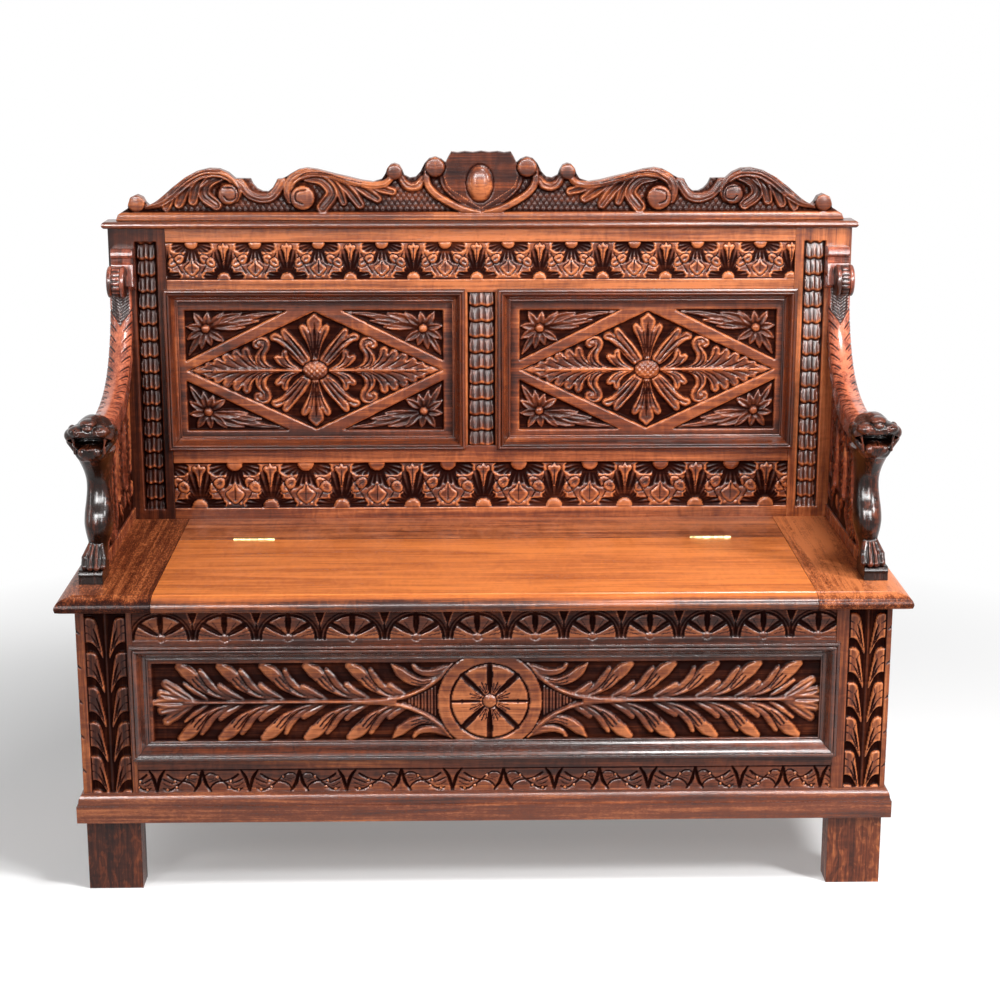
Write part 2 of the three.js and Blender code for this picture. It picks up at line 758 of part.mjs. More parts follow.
const armTopShares = [
  [0.024, 0.824], [0.036, 0.776], [0.06, 0.72], [0.1, 0.663], [0.152, 0.611], [0.217, 0.567], [0.306, 0.531],
  [0.41, 0.507], [0.518, 0.494], [0.627, 0.489], [0.74, 0.489], [0.83, 0.492],
];
const armRootDepthShare = 0.55;
const armSections = 18;

// One section of the rest: flat sides and foot under a rounded crown
function armSection(point, tangent, depth) {
  const half = armWidth / 2;
  const section = [[-half, -depth], [-half, -armCrown]];
  const steps = 6;
  for (let i = 1; i < steps; i += 1) {
    const angle = Math.PI * (1 - i / steps);
    section.push([half * Math.cos(angle), -armCrown * (1 - Math.sin(angle))]);
  }
  section.push([half, -armCrown], [half, -depth]);
  return section.map(([u, v]) => [armX + u, point.y - tangent.z * v, point.z + tangent.y * v]);
}

function armPath() {
  const curve = new THREE.CatmullRomCurve3(armTopShares.map(armPlace).map(([y, z]) => new THREE.Vector3(0, y, z)));
  const places = [];
  for (let i = 0; i <= armSections; i += 1) {
    const t = i / armSections;
    const depth = armDepth * Math.min(1, armRootDepthShare + (1 - armRootDepthShare) * t * 2);
    places.push({ point: curve.getPoint(t), tangent: curve.getTangent(t).negate(), depth });
  }
  return places;
}

function armRest() {
  const half = armWidth / 2;
  const rings = armPath().map(({ point, tangent, depth }) => armSection(point, tangent, depth));
  const steps = rings[0].length - 3;
  const outline = rings[0].map(([x], i) => [x - armX,
    i === 0 || i === rings[0].length - 1 ? -half : half * Math.sin((Math.PI * (i - 1)) / steps)]);
  return skinned(rings, outline);
}

// The scroll at the top of the arm: a stepped cap against the back and a roll below it
const rollShares = {
  centre: [0.132, 0.89], cap: [0.085, 1], step: [0.08, 0.955], tail: [0.024, 0.824], turn: [1 / 6, 0.86],
};

function armScroll() {
  const [cy, cz] = armPlace(rollShares.centre);
  const [capY, capZ] = armPlace(rollShares.cap);
  const [stepY, stepZ] = armPlace(rollShares.step);
  const [tailY, tailZ] = armPlace(rollShares.tail);
  const rear = backY - gap;
  const shape = new THREE.Shape();
  shape.moveTo(rear, tailZ - armCrown * 2);
  shape.lineTo(rear, capZ);
  shape.lineTo(capY + gap, capZ);
  shape.quadraticCurveTo(capY - seatQuirk, capZ - seatQuirk, capY, stepZ);
  shape.lineTo(stepY, stepZ);
  const [start, end] = rollShares.turn.map((share) => share * Math.PI * 2);
  shape.absarc(cy, cz, rollRadius, start, end, false);
  shape.lineTo(tailY, tailZ);
  return alongX(shape, armX - armWidth / 2, armX + armWidth / 2, 14);
}

// Lion's head: each row is the reach, the top and foot of the rise, and the half width, as shares
const skullShares = [
  [0.78, 0.49, 0.4, 0.54], [0.83, 0.527, 0.405, 0.72], [0.875, 0.55, 0.425, 0.95], [0.91, 0.558, 0.45, 1],
  [0.95, 0.56, 0.474, 0.96], [0.985, 0.556, 0.482, 0.92], [1.015, 0.546, 0.486, 0.86], [1.04, 0.528, 0.49, 0.7],
  [1.053, 0.512, 0.495, 0.42],
];
const jawShares = [
  [0.84, 0.455, 0.36, 0.62], [0.89, 0.466, 0.38, 0.8], [0.94, 0.472, 0.405, 0.82], [0.985, 0.47, 0.425, 0.74],
  [1.01, 0.462, 0.437, 0.56],
];
const earShares = { place: [0.87, 0.515], side: 0.46 };
const ringCorners = 12;

// A closed ring of rounded-square form
function roundRing(toPlace) {
  const ring = [];
  for (let i = 0; i < ringCorners; i += 1) {
    const angle = (Math.PI * 2 * i) / ringCorners;
    const [c, s] = [Math.cos(angle), Math.sin(angle)];
    ring.push(toPlace(Math.sign(c) * Math.sqrt(Math.abs(c)), s));
  }
  return ring;
}

function headLoft(rows) {
  const rings = rows.map(([reach, top, foot, widthShare]) => {
    const [y, zTop] = armPlace([reach, top]);
    const zFoot = armPlace([reach, foot])[1];
    const [half, rise] = [widthShare * headWidth / 2, (zTop - zFoot) / 2];
    return roundRing((u, v) => [headX + half * u, y, zFoot + rise * (1 + v)]);
  });
  return skinned(rings, rings[0].map(([x, , z]) => [x - headX, z]));
}

function ears() {
  const [y, z] = armPlace(earShares.place);
  return [-1, 1].map((side) => plain(new THREE.SphereGeometry(armCrown, 8, 6))
    .applyMatrix4(new THREE.Matrix4().makeTranslation(headX + side * headWidth * earShares.side, y, z)));
}

function clearOfBack(geometry) {
  return cut(geometry, box(armX - armReach, armX + armReach, backY - gap, rearY + armReach, 0, backHeight * 2));
}

function armBody() {
  return clearOfBack(joined(armScroll(), armRest(), headLoft(skullShares), headLoft(jawShares), ...ears()));
}

// Lion's leg: each row is the rise, the front and rear of the reach, and the half width, as shares
const legShares = [
  [0.098, 0.945, 0.86, 0.92], [0.125, 0.945, 0.858, 0.8], [0.14, 0.955, 0.855, 0.84], [0.165, 0.968, 0.84, 0.96],
  [0.195, 0.972, 0.835, 1], [0.23, 0.958, 0.832, 0.95], [0.28, 0.925, 0.83, 0.86], [0.33, 0.918, 0.82, 0.85],
  [0.362, 0.93, 0.81, 0.92], [0.395, 0.95, 0.805, 0.96], [0.43, 0.965, 0.8, 1.1],
];
const pawShares = { front: [0.96, 0], rear: [0.86, 0] };
const toes = 4;

function legBlock(blockTop) {
  const front = backY - armReach;
  const nose = blockHeight / 3;
  return alongX([
    [front, seatHeight + gap], [front + blockLength, seatHeight + gap], [front + blockLength, blockTop],
    [front + nose, blockTop], [front + nose / 3, blockTop - nose / 3], [front, blockTop - nose],
  ], armX - armWidth / 2, armX + armWidth / 2);
}

function legPaw(blockTop) {
  const pitch = legWidth / toes;
  const [frontY0, rearY0] = [armPlace(pawShares.front)[0], armPlace(pawShares.rear)[0]];
  const rise = seatHeight + legShares[1][0] * armRise - blockTop;
  const edge = headX - legWidth / 2;
  const sole = box(edge, edge + legWidth, frontY0, rearY0, blockTop - gap, blockTop + rise / 2);
  const parts = [sole];
  for (let i = 0; i < toes; i += 1) {
    const basis = new THREE.Matrix4().makeScale(pitch / 2, blockLength / 3, rise / 2)
      .setPosition(edge + pitch * (i + 1 / 2), frontY0 + rise / 4, blockTop + rise / 2);
    parts.push(plain(new THREE.SphereGeometry(1, 8, 6)).applyMatrix4(basis));
  }
  return parts;
}

function legBody(arm) {
  const blockTop = seatHeight + gap + blockHeight;
  const rings = legShares.map(([rise, front, rear, widthShare]) => {
    const [y0, z] = armPlace([front, rise]);
    const y1 = armPlace([rear, rise])[0];
    const half = (legWidth / 2) * widthShare;
    return roundRing((u, v) => [headX + half * u, (y0 + y1) / 2 + ((y1 - y0) / 2) * v, z]);
  });
  const shaft = skinned(rings, rings[0].map(([x, y]) => [x, y]));
  const leg = joined(legBlock(blockTop), shaft, ...legPaw(blockTop));
  return cut(leg, arm, moved(arm, 0, gap, -gap));
}

// Pierced leaf panel under each arm, with a plain rail along the seat
const piercingShares = [
  [[0.85, 0.11], [0.78, 0.115], [0.74, 0.2], [0.75, 0.3], [0.77, 0.37], [0.82, 0.36], [0.85, 0.25]],
  [[0.64, 0.13], [0.6, 0.26], [0.63, 0.36], [0.55, 0.37], [0.52, 0.26], [0.56, 0.13]],
  [[0.43, 0.12], [0.46, 0.26], [0.4, 0.37], [0.33, 0.39], [0.36, 0.26], [0.34, 0.12]],
  [[0.23, 0.12], [0.27, 0.26], [0.22, 0.4], [0.14, 0.45], [0.18, 0.28], [0.14, 0.12]],
  [[0.06, 0.15], [0.09, 0.32], [0.06, 0.5], [0.035, 0.52], [0.03, 0.3]],
];
const infillFrontShare = [0.83, 0.42];

function infillBody(arm, leg) {
  const [frontEdge, frontTop] = armPlace(infillFrontShare);
  const rear = backY - gap;
  const foot = seatHeight + gap;
  const blockRear = backY - armReach + blockLength + gap;
  const under = armPath().map(({ point, tangent, depth }) => [
    point.y + tangent.z * depth * (2 / 3), point.z - tangent.y * depth * (2 / 3)])
    .filter(([y]) => y < rear && y > frontEdge);
  const half = infillThickness / 2;
  const board = alongX([
    [blockRear, foot], [rear, foot], [rear, under[0][1]], ...under, [frontEdge, frontTop],
    [frontEdge, foot + infillRail], [blockRear, foot + infillRail],
  ], armX - half, armX + half);
  const piercings = piercingShares.map((shares) => {
    const curve = new THREE.CatmullRomCurve3(shares.map(armPlace).map(([y, z]) => new THREE.Vector3(y, z, 0)), true);
    const loop = curve.getPoints(shares.length * 3).slice(0, -1);
    return alongX(loop.map(({ x, y }) => [x, y]), armX - half - overrun, armX + half + overrun);
  });
  return cut(board, ...piercings, arm, moved(arm, 0, gap, -gap), moved(leg, 0, gap * 2, 0));
}

function addArms() {
  const arm = armBody();
  const leg = legBody(arm);
  for (const [name, body] of Object.entries({ arm, arm_leg: leg, arm_infill: infillBody(arm, leg) })) {
    add(`${name}_right`, body, darkOak);
    add(`${name}_left`, mirrored(body), darkOak);
  }
}

addFeet();
addPlinth();
addFrontPosts();
addFrontRails();
addFrontPanel();
addFrontMouldings();
addSideRails();
addSidePanels();
addFloor();
addBackPosts();
addBackRails();
addMuntin();
addBackPanels();
addBackMouldings();
addChestBack();
addCornice();
addCrest();
addSeatEnds();
addSeatRail();
addLid();
addHinges();
addArms();

export default bench;
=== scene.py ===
"""Carved oak settle bench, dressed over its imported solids.

Lengths inside the classes are millimetres; meshes are written in metres in the solids' own frame.
"""
import logging
from collections.abc import Callable, Iterable, Sequence
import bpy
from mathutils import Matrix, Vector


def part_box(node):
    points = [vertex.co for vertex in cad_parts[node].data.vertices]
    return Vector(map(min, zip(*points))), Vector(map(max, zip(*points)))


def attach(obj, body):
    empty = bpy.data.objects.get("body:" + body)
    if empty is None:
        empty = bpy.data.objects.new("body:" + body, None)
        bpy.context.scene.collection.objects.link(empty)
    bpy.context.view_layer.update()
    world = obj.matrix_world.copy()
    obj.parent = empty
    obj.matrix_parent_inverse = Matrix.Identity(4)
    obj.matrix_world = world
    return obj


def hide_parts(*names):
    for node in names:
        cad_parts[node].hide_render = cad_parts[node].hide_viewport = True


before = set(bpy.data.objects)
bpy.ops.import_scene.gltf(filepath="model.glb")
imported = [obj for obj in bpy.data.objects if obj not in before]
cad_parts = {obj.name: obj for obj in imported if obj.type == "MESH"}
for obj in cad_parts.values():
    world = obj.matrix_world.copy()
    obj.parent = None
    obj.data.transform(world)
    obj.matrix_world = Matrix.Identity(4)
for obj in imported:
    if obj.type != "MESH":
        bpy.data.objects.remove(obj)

from copy import copy
from dataclasses import dataclass
from enum import Enum
from math import cos, hypot, pi, radians, sin

import bpy
import numpy as np
from mathutils import Matrix, Vector

logging.basicConfig(level=logging.INFO, format="%(message)s")
log = logging.getLogger("settle")

MM = 0.001
BODY = "bench"

Colour = tuple[float, float, float]
Piece = bpy.types.Object
Value = bpy.types.NodeSocket | Sequence[float] | float
Point = tuple[float, float]
Array = np.ndarray
Points = Sequence[float] | Sequence[Point] | Array
Place = Callable[[Array, Array, Array], tuple[Array, Array, Array]]


class Slot(Enum):
    """The record's material slots."""

    CARVED = "carved_oak"
    DARK = "dark_oak"


class Side(Enum):
    """The two ends of the bench, with the sign of their X."""

    RIGHT = 1
    LEFT = -1


class Grain(Enum):
    """The way a board's grain runs, as the axis of its length."""

    ALONG_X = 0
    ALONG_Y = 1
    ALONG_Z = 2


class Section(Enum):
    """Cross sections of a carved stroke, from its middle to its edge."""

    ROUND = "round"
    VEE = "vee"
    FLAT = "flat"
    LEAF = "leaf"
    DISH = "dish"
    CUPPED = "cupped"
    STRAP = "strap"
    HOLLOW = "hollow"

    def rise(self, a: Array) -> Array:
        """Gives the share of the full height.

        Args:
            a: distance from the middle as a share of the half width, 0 to 1.

        Returns:
            The height shares, 0 to 1.
        """
        a = held(a)
        if self is Section.ROUND:
            return np.sqrt(1 - a * a)
        if self is Section.VEE:
            return 1 - a
        if self is Section.FLAT:
            return np.minimum(1, (1 - a) * 5)
        if self is Section.LEAF:
            return np.sqrt(1 - a * a) * (1 - 0.45 * np.exp(-((a / 0.2) ** 2)))
        if self is Section.DISH:
            return np.minimum(0.5 + 0.5 * a * a, (1 - a) * 6)
        if self is Section.CUPPED:
            return np.minimum(0.42 + 0.64 * held(a / 0.74) ** 1.6, np.sqrt(held(1 - a)) * 2.2)
        if self is Section.STRAP:
            groove = np.exp(-(((a - 0.5) / 0.13) ** 2))
            return np.minimum(1 - 0.4 * groove, (1 - a) * 5)
        return (1 - a * a) ** 1.5


ROUND, VEE, FLAT, LEAF, DISH, CUPPED, STRAP, HOLLOW = Section


def smooth_path(points: Sequence[Point], per_span: int = 6) -> Array:
    """Runs a Catmull-Rom curve through points.

    Args:
        points: the points that the curve passes, in order.
        per_span: samples between two of them.

    Returns:
        The curve as an array of points.
    """
    p = np.asarray(points, float)
    if len(p) < 3:
        return p
    p = np.vstack([2 * p[0] - p[1], p, 2 * p[-1] - p[-2]])
    t = np.linspace(0.0, 1.0, per_span, endpoint=False)[:, None]
    spans = []
    for a, b, c, d in zip(p[:-3], p[1:-2], p[2:-1], p[3:]):
        spans.append(0.5 * (2 * b + (c - a) * t + (2 * a - 5 * b + 4 * c - d) * t**2 + (3 * b - a - 3 * c + d) * t**3))
    return np.vstack([*spans, p[-2:-1]])


def nearest_on_path(path: Array, u: Array, v: Array) -> tuple[Array, Array, Array]:
    """Finds how far each place is from a path.

    Args:
        path: the path's points.
        u: the places' first coordinates.
        v: the places' second coordinates.

    Returns:
        The distance, the side (1 on the left, -1 on the right) and the share of the path's length.
    """
    a, d = path[:-1], np.diff(path, axis=0)
    length = np.maximum(np.hypot(d[:, 0], d[:, 1]), 1e-9)
    start = np.concatenate([[0.0], np.cumsum(length)])
    px, py = u[..., None] - a[:, 0], v[..., None] - a[:, 1]
    s = held((px * d[:, 0] + py * d[:, 1]) / length**2)
    qx, qy = px - s * d[:, 0], py - s * d[:, 1]
    square = qx * qx + qy * qy
    k = np.argmin(square, axis=-1)[..., None]

    def pick(values: Array) -> Array:
        """Takes the nearest segment's value."""
        return np.take_along_axis(values, k, axis=-1)[..., 0]

    side = np.sign(pick(d[:, 0] * py - d[:, 1] * px))
    share = (start[:-1][k[..., 0]] + pick(s) * length[k[..., 0]]) / start[-1]
    return np.sqrt(pick(square)), side, share


def inside_polygon(polygon: Array, u: Array, v: Array) -> Array:
    """Tells which places lie inside a polygon.

    Args:
        polygon: its corners in order.
        u: the places' first coordinates.
        v: the places' second coordinates.

    Returns:
        True for each place inside.
    """
    inside = np.zeros(u.shape, bool)
    for (x0, y0), (x1, y1) in zip(polygon, np.roll(polygon, -1, axis=0)):
        if y0 == y1:
            continue
        crosses = (y0 > v) != (y1 > v)
        inside ^= crosses & (u < (x1 - x0) * (v - y0) / (y1 - y0) + x0)
    return inside


def held(values: Array) -> Array:
    """Holds values between 0 and 1."""
    return np.clip(values, 0, 1)


def blurred(values: Array, rounds: int) -> Array:
    """Softens a grid with a small kernel, some rounds over."""
    out = values.copy()
    for _ in range(rounds):
        for axis in range(out.ndim):
            ahead, behind = np.roll(out, -1, axis), np.roll(out, 1, axis)
            out = 0.25 * (ahead + behind) + 0.5 * out
    return out


def along(values: Sequence[float] | float, t: Array) -> Array:
    """Reads values that are spaced evenly from 0 to 1, or one value for all."""
    values = np.atleast_1d(np.asarray(values, float))
    return np.interp(t, np.linspace(0.0, 1.0, len(values)), values)


@dataclass(frozen=True)
class Spot:
    """Where a motif is drawn: its origin, its two signed scales and its turn in degrees."""

    u: float = 0.0
    v: float = 0.0
    su: float = 1.0
    sv: float = 1.0
    turn: float = 0.0

    def at(self, points: Points) -> Array:
        """Places points of the motif on the board."""
        p = np.asarray(points, float).reshape(-1, 2) * (self.su, self.sv)
        c, s = cos(radians(self.turn)), sin(radians(self.turn))
        return p @ np.array([[c, s], [-s, c]]) + (self.u, self.v)


@dataclass
class Relief:
    """Carved heights over a flat face: zero is the face as planed, and a cut is negative. Each place has a tone, how
    light it is; cuts and grounds get low tones, partly dirt in the hollows and partly painted shade.
    """

    u0: float
    u1: float
    v0: float
    v1: float
    step: float = 1.3
    ground: float = -5.0
    wear: float = 0.55
    spot: Spot = Spot()

    def __post_init__(self) -> None:
        """Lays out the grid."""
        self.u = np.linspace(self.u0, self.u1, int(round((self.u1 - self.u0) / self.step)) + 1)
        self.v = np.linspace(self.v0, self.v1, int(round((self.v1 - self.v0) / self.step)) + 1)
        self.uu, self.vv = np.meshgrid(self.u, self.v)
        self.height = np.zeros(self.uu.shape)
        self.tone = np.full(self.uu.shape, self.wear)

    def at(self, *spot: float) -> "Relief":
        """Gives the same face for motifs drawn at a spot: its place, its two signed scales and its turn."""
        here = copy(self)
        here.spot = Spot(*spot)
        return here

    def cells(self, outline: Array) -> Array:
        """Tells which cells of the grid have their middle inside an outline."""
        return inside_polygon(outline, *((grid[:-1, :-1] + grid[1:, 1:]) / 2 for grid in (self.uu, self.vv)))

    def inside(self, corners: Points) -> Array:
        """Tells which places lie inside a polygon."""
        return inside_polygon(self.spot.at(corners), self.uu, self.vv)

    def level(self, mask: Array, height: float | Array, tone: float | Array) -> None:
        """Sets the height and the tone of a part of the face."""
        self.height[mask] = np.broadcast_to(height, mask.shape)[mask]
        self.tone[mask] = np.broadcast_to(tone, mask.shape)[mask]

    def window(self, points: Array, margin: float) -> tuple[slice, slice]:
        """Gives the part of the grid around points, widened by a margin."""
        lo, hi = points.min(axis=0) - margin, points.max(axis=0) + margin
        c0, c1 = np.searchsorted(self.u, lo[0]), np.searchsorted(self.u, hi[0])
        r0, r1 = np.searchsorted(self.v, lo[1]), np.searchsorted(self.v, hi[1])
        return slice(r0, r1), slice(c0, c1)

    def sink(self, mask: Array, depth: float, tone: float = 0.12) -> None:
        """Lowers a part of the face to a flat ground, with a dark tone that paints shade into it."""
        self.level(mask, np.minimum(self.height, -depth), tone)

    def stroke(self, points: Points, half: Sequence[float] | float, section: Section = Section.ROUND,
            top: float | Sequence[float] = 0.0, tone: Sequence[float] | float = (0.5, 0.8), ribs: float = 0.0,
            rib_count: float = 6.0, flutes: int = 0) -> None:
        """Raises a stroke out of the ground, or cuts one into the face.

        Args:
            points: what the stroke's middle passes, from root to tip.
            half: its half width, or half widths evenly spaced along it.
            section: its cross section; a vee or a hollow is cut into the face.
            top: height of its middle, or the heights along it; for a cut, its depths as negative heights.
            tone: how light it is, or that at its root and at its tip; a low tone paints shade into a cut.
            ribs: depth of slanted veins as a share of its rise.
            rib_count: how many veins it has.
            flutes: how many grooves run along it.
        """
        path = smooth_path(self.spot.at(points))
        rows, cols = self.window(path, float(np.max(half)) + self.step)
        uu, vv = self.uu[rows, cols], self.vv[rows, cols]
        if uu.size == 0:
            return
        distance, side, t = nearest_on_path(path, uu, vv)
        a = distance / np.maximum(along(half, t), 1e-3)
        rise = section.rise(a)
        if ribs:
            rise = rise * (1.0 - ribs * (0.5 - 0.5 * np.cos(2 * pi * (rib_count * t - 0.9 * a))))
        if flutes:
            rise = rise * (0.64 + 0.36 * np.cos(pi * (flutes + 1) * a * side + pi * (flutes % 2)))
        here, peak = self.height[rows, cols], along(top, t)
        if section in (VEE, HOLLOW):
            new = peak * rise
            won = (a < 1.0) & (new < here)
        else:
            new = self.ground + (peak - self.ground) * rise
            won = (a < 1.0) & (new > here)
        here[won] = new[won]
        self.tone[rows, cols][won] = along(tone, t)[won]

    def raised(self, corners: Points, top: float, edge: float, tone: tuple[float, float], dish: float = 0.0) -> None:
        """Raises a shape with rounded edges out of the ground.

        Args:
            corners: its outline, drawn through as a smooth loop.
            top: height of its face.
            edge: width of its rounding.
            tone: how light it is at its edge and in its middle.
            dish: how far its middle is hollowed.
        """
        p = self.spot.at(corners)
        loop = smooth_path([*p[-2:], *p, *p[:2]])[12:-6]
        rows, cols = self.window(loop, self.step)
        uu, vv = self.uu[rows, cols], self.vv[rows, cols]
        if uu.size == 0:
            return
        inside = inside_polygon(loop, uu, vv)
        deep, _, _ = nearest_on_path(np.vstack([loop, loop[:1]]), uu, vv)
        share = held(deep / edge)
        new = self.ground + (top - self.ground) * np.sqrt(share * (2 - share)) - dish * held(deep / edge - 1)
        here = self.height[rows, cols]
        won = inside & (new > here)
        here[won] = new[won]
        self.tone[rows, cols][won] = np.interp(deep, (edge, 2.2 * edge), (max(tone), min(tone)))[won]

    def vee(self, points: Points, half: float = 1.4, depth: float = 2.2, tone: float = 0.1) -> None:
        """Cuts a narrow V line, darkened by its tone as painted shade in the cut."""
        self.stroke(points, half, VEE, -depth, tone)

    def dome(self, centre: Point, radii: Point | float, top: float, foot: float, power: float = 0.5,
            tone: float = 0.75) -> None:
        """Raises a round or oval boss.

        Args:
            centre: its middle, from the spot.
            radii: its radius, or its half width and half height.
            top: height of its middle.
            foot: height at its rim.
            power: 0.5 is a dome, and less is flatter with a steeper rim.
            tone: how light it is; a low tone paints shade into a cut ring.
        """
        (u, v), (wide, high) = self.spot.at(centre)[0], np.broadcast_to(radii, 2)
        rows, cols = self.window(np.array([[u, v]]), max(wide, high) + self.step)
        square = ((self.uu[rows, cols] - u) / wide) ** 2 + ((self.vv[rows, cols] - v) / high) ** 2
        inside = square < 1.0
        here = self.height[rows, cols]
        here[inside] = (foot + (top - foot) * held(1.0 - square) ** power)[inside]
        self.tone[rows, cols][inside] = tone

    def lattice(self, mask: Array, pitch: float, slope: float, depth: float) -> None:
        """Cuts two crossing sets of fine lines, and a dot in each lozenge."""
        angle = radians(slope)
        p = (self.uu * sin(angle) + self.vv * cos(angle)) / pitch
        q = (self.uu * sin(angle) - self.vv * cos(angle)) / pitch
        line = np.maximum(np.exp(-((np.abs(p - np.round(p)) * pitch / 1.1) ** 2)),
            np.exp(-((np.abs(q - np.round(q)) * pitch / 1.1) ** 2)))
        fp, fq = np.abs(p - np.floor(p) - 0.5), np.abs(q - np.floor(q) - 0.5)
        dot = np.exp(-((np.hypot(fp, fq) * pitch / 1.3) ** 2))
        self.height[mask] -= (depth * line + 0.6 * depth * dot)[mask]

    def rubbed_and_lit(self, contrast: float = 0.5) -> Array:
        """Works out how light each place is, from its own tone, lighter on ridges as rubbed wear and darker in hollows
        and with depth as painted shade.
        """
        # the cavity and depth terms paint shade into the hollows and rub the ridges lighter
        cavity = self.height - blurred(self.height, 10)
        low = self.height.min() or -1.0
        worn_and_shaded = self.tone + contrast * 0.16 * np.clip(cavity, -3.0, 2.5) + 0.12 * (1.0 - self.height / low) - 0.08
        return held(worn_and_shaded)

    def soften(self, rounds: int = 1) -> None:
        """Rounds the tool marks a little."""
        self.height = blurred(self.height, rounds)


def new_object(name: str, vertices: Array, faces: Sequence[Sequence[int]], smooth: Sequence[bool] | bool = True,
        wear: Array | None = None) -> Piece:
    """Makes an object of a mesh.

    Args:
        name: the piece's name.
        vertices: corners in millimetres.
        faces: corner numbers of each face, turned out.
        smooth: whether the faces are shaded smooth, for all or for each.
        wear: how light the finish is at each corner, from its wear and its painted shade.

    Returns:
        The linked object.
    """
    mesh = bpy.data.meshes.new(name)
    mesh.from_pydata((np.asarray(vertices, float) * MM).tolist(), [], faces)
    flags = np.full(len(mesh.polygons), smooth, bool) if isinstance(smooth, bool) else np.asarray(smooth, bool)
    mesh.polygons.foreach_set("use_smooth", flags)
    # this per-corner value carries rubbed wear and painted shade together
    if wear is not None:
        mesh.attributes.new("wear", "FLOAT", "POINT").data.foreach_set("value", np.asarray(wear, np.float32))
    mesh.update()
    piece = bpy.data.objects.new(name, mesh)
    bpy.context.scene.collection.objects.link(piece)
    return piece


def edge_loops(edges: Array) -> list[list[int]]:
    """Chains directed edges into closed loops."""
    following: dict[int, list[int]] = {}
    for a, b in edges.tolist():
        following.setdefault(a, []).append(b)
    loops = []
    while following:
        loop = [next(iter(following))]
        while len(loop) < 2 or loop[-1] != loop[0]:
            here = loop[-1]
            loop.append(following[here].pop())
            if not following[here]:
                del following[here]
        loops.append(loop[:-1])
    return loops


def relief_solid(name: str, face: Relief, place: Place, back: float, cells: Array | None = None,
        outlines: Iterable[Array] = (), two_sided: bool = False) -> Piece:
    """Makes a closed board with a carved face.

    Args:
        name: the piece's name.
        face: its carving.
        place: takes the face's coordinates and the height out of it, and gives places in the bench's frame.
        back: height of the flat back, or of the middle plane where both sides are carved.
        cells: which cells of the grid are wood; all where it is None.
        outlines: polygons that the rim's corners are drawn onto.
        two_sided: True mirrors the carving onto the back, about the plane at half of back.

    Returns:
        The linked object.
    """
    rows, cols = face.height.shape
    cells = np.ones((rows - 1, cols - 1), bool) if cells is None else cells
    ids = np.arange(rows * cols).reshape(rows, cols)
    a, b, c, d = ids[:-1, :-1], ids[:-1, 1:], ids[1:, 1:], ids[1:, :-1]
    quads = np.stack([corner[cells] for corner in (a, b, c, d)], axis=-1)
    wood = np.pad(cells, 1)
    beside = wood[:-2, 1:-1], wood[1:-1, 2:], wood[2:, 1:-1], wood[1:-1, :-2]
    edges = [(start[cells & ~other], end[cells & ~other]) for start, end, other in zip((a, b, c, d), (b, c, d, a),
        beside)]
    rim = np.vstack([np.stack(edge, axis=-1) for edge in edges])
    u, v = face.uu.ravel().copy(), face.vv.ravel().copy()
    corners = np.unique(rim)
    x, y, pick, best = u[corners], v[corners], np.arange(len(corners)), np.full(len(corners), np.inf)
    for polygon in outlines:
        way = np.roll(polygon, -1, axis=0) - polygon
        length = np.maximum((way**2).sum(axis=1), 1e-9)
        s = (x[:, None] - polygon[:, 0]) * way[:, 0] + (y[:, None] - polygon[:, 1]) * way[:, 1]
        s = held(s / length)
        qx, qy = polygon[:, 0] + s * way[:, 0], polygon[:, 1] + s * way[:, 1]
        far = np.hypot(qx - x[:, None], qy - y[:, None])
        k = far.argmin(axis=1)
        far = far[pick, k]
        nearer = (far < best) & (far < 1.6 * face.step)
        u[corners[nearer]], v[corners[nearer]] = qx[pick, k][nearer], qy[pick, k][nearer]
        best = np.minimum(best, far)
    used = np.unique(quads)
    count = len(used)
    number = np.full(rows * cols, -1)
    number[used] = np.arange(count)
    quads, rim = number[quads], number[rim]
    height, wear = face.height.ravel()[used], face.rubbed_and_lit().ravel()[used]
    front = place(u[used], v[used], height)
    if two_sided:
        behind = np.arange(count) + count
        rear, rear_wear = place(u[used], v[used], back - height), wear
        faces, caps = quads.tolist() + (quads[:, ::-1] + count).tolist(), []
    else:
        corners = np.unique(rim)
        behind = np.full(count, -1)
        behind[corners] = count + np.arange(len(corners))
        origin = used[corners]
        rear, rear_wear = place(u[origin], v[origin], np.full(len(origin), back)), np.full(len(origin), face.wear)
        faces, caps = quads.tolist(), [[int(behind[i]) for i in reversed(loop)] for loop in edge_loops(rim)]
    rounded = len(faces)
    first, second = rim.T
    faces += np.stack([second, first, behind[first], behind[second]], axis=-1).tolist() + caps
    vertices = np.vstack([np.stack(front, axis=-1), np.stack(rear, axis=-1)])
    return new_object(name, vertices, faces, np.arange(len(faces)) < rounded, np.concatenate([wear, rear_wear]))


def facing_front(face_y: float) -> Place:
    """Gives the place of a carving on a face that looks to the front."""
    return lambda u, v, h: (u, face_y - h, v)


def loft(name: str, rings: Sequence[Array], wear: Array | None = None, smooth: bool = True,
        around: bool = False) -> Piece:
    """Skins closed rings of equal count into a closed solid.

    Args:
        name: the piece's name.
        rings: the rings, in order, turned so that the skin faces out.
        wear: how light each corner is, from its wear and its painted shade.
        smooth: whether the skin is shaded smooth.
        around: True joins the last ring to the first, with no end caps.

    Returns:
        The linked object.
    """
    count, turns = len(rings[0]), len(rings)
    r = np.arange(turns if around else turns - 1)[:, None]
    i = np.arange(count)[None, :]
    j, s = (i + 1) % count, (r + 1) % turns
    quads = np.stack([r * count + i, r * count + j, s * count + j, s * count + i], axis=-1).reshape(-1, 4)
    faces = quads.tolist()
    flags = np.full(len(faces), smooth)
    if not around:
        faces += [list(range(count))[::-1], [(turns - 1) * count + k for k in range(count)]]
        flags = np.concatenate([flags, [False, False]])
    return new_object(name, np.vstack(rings), faces, flags, wear)


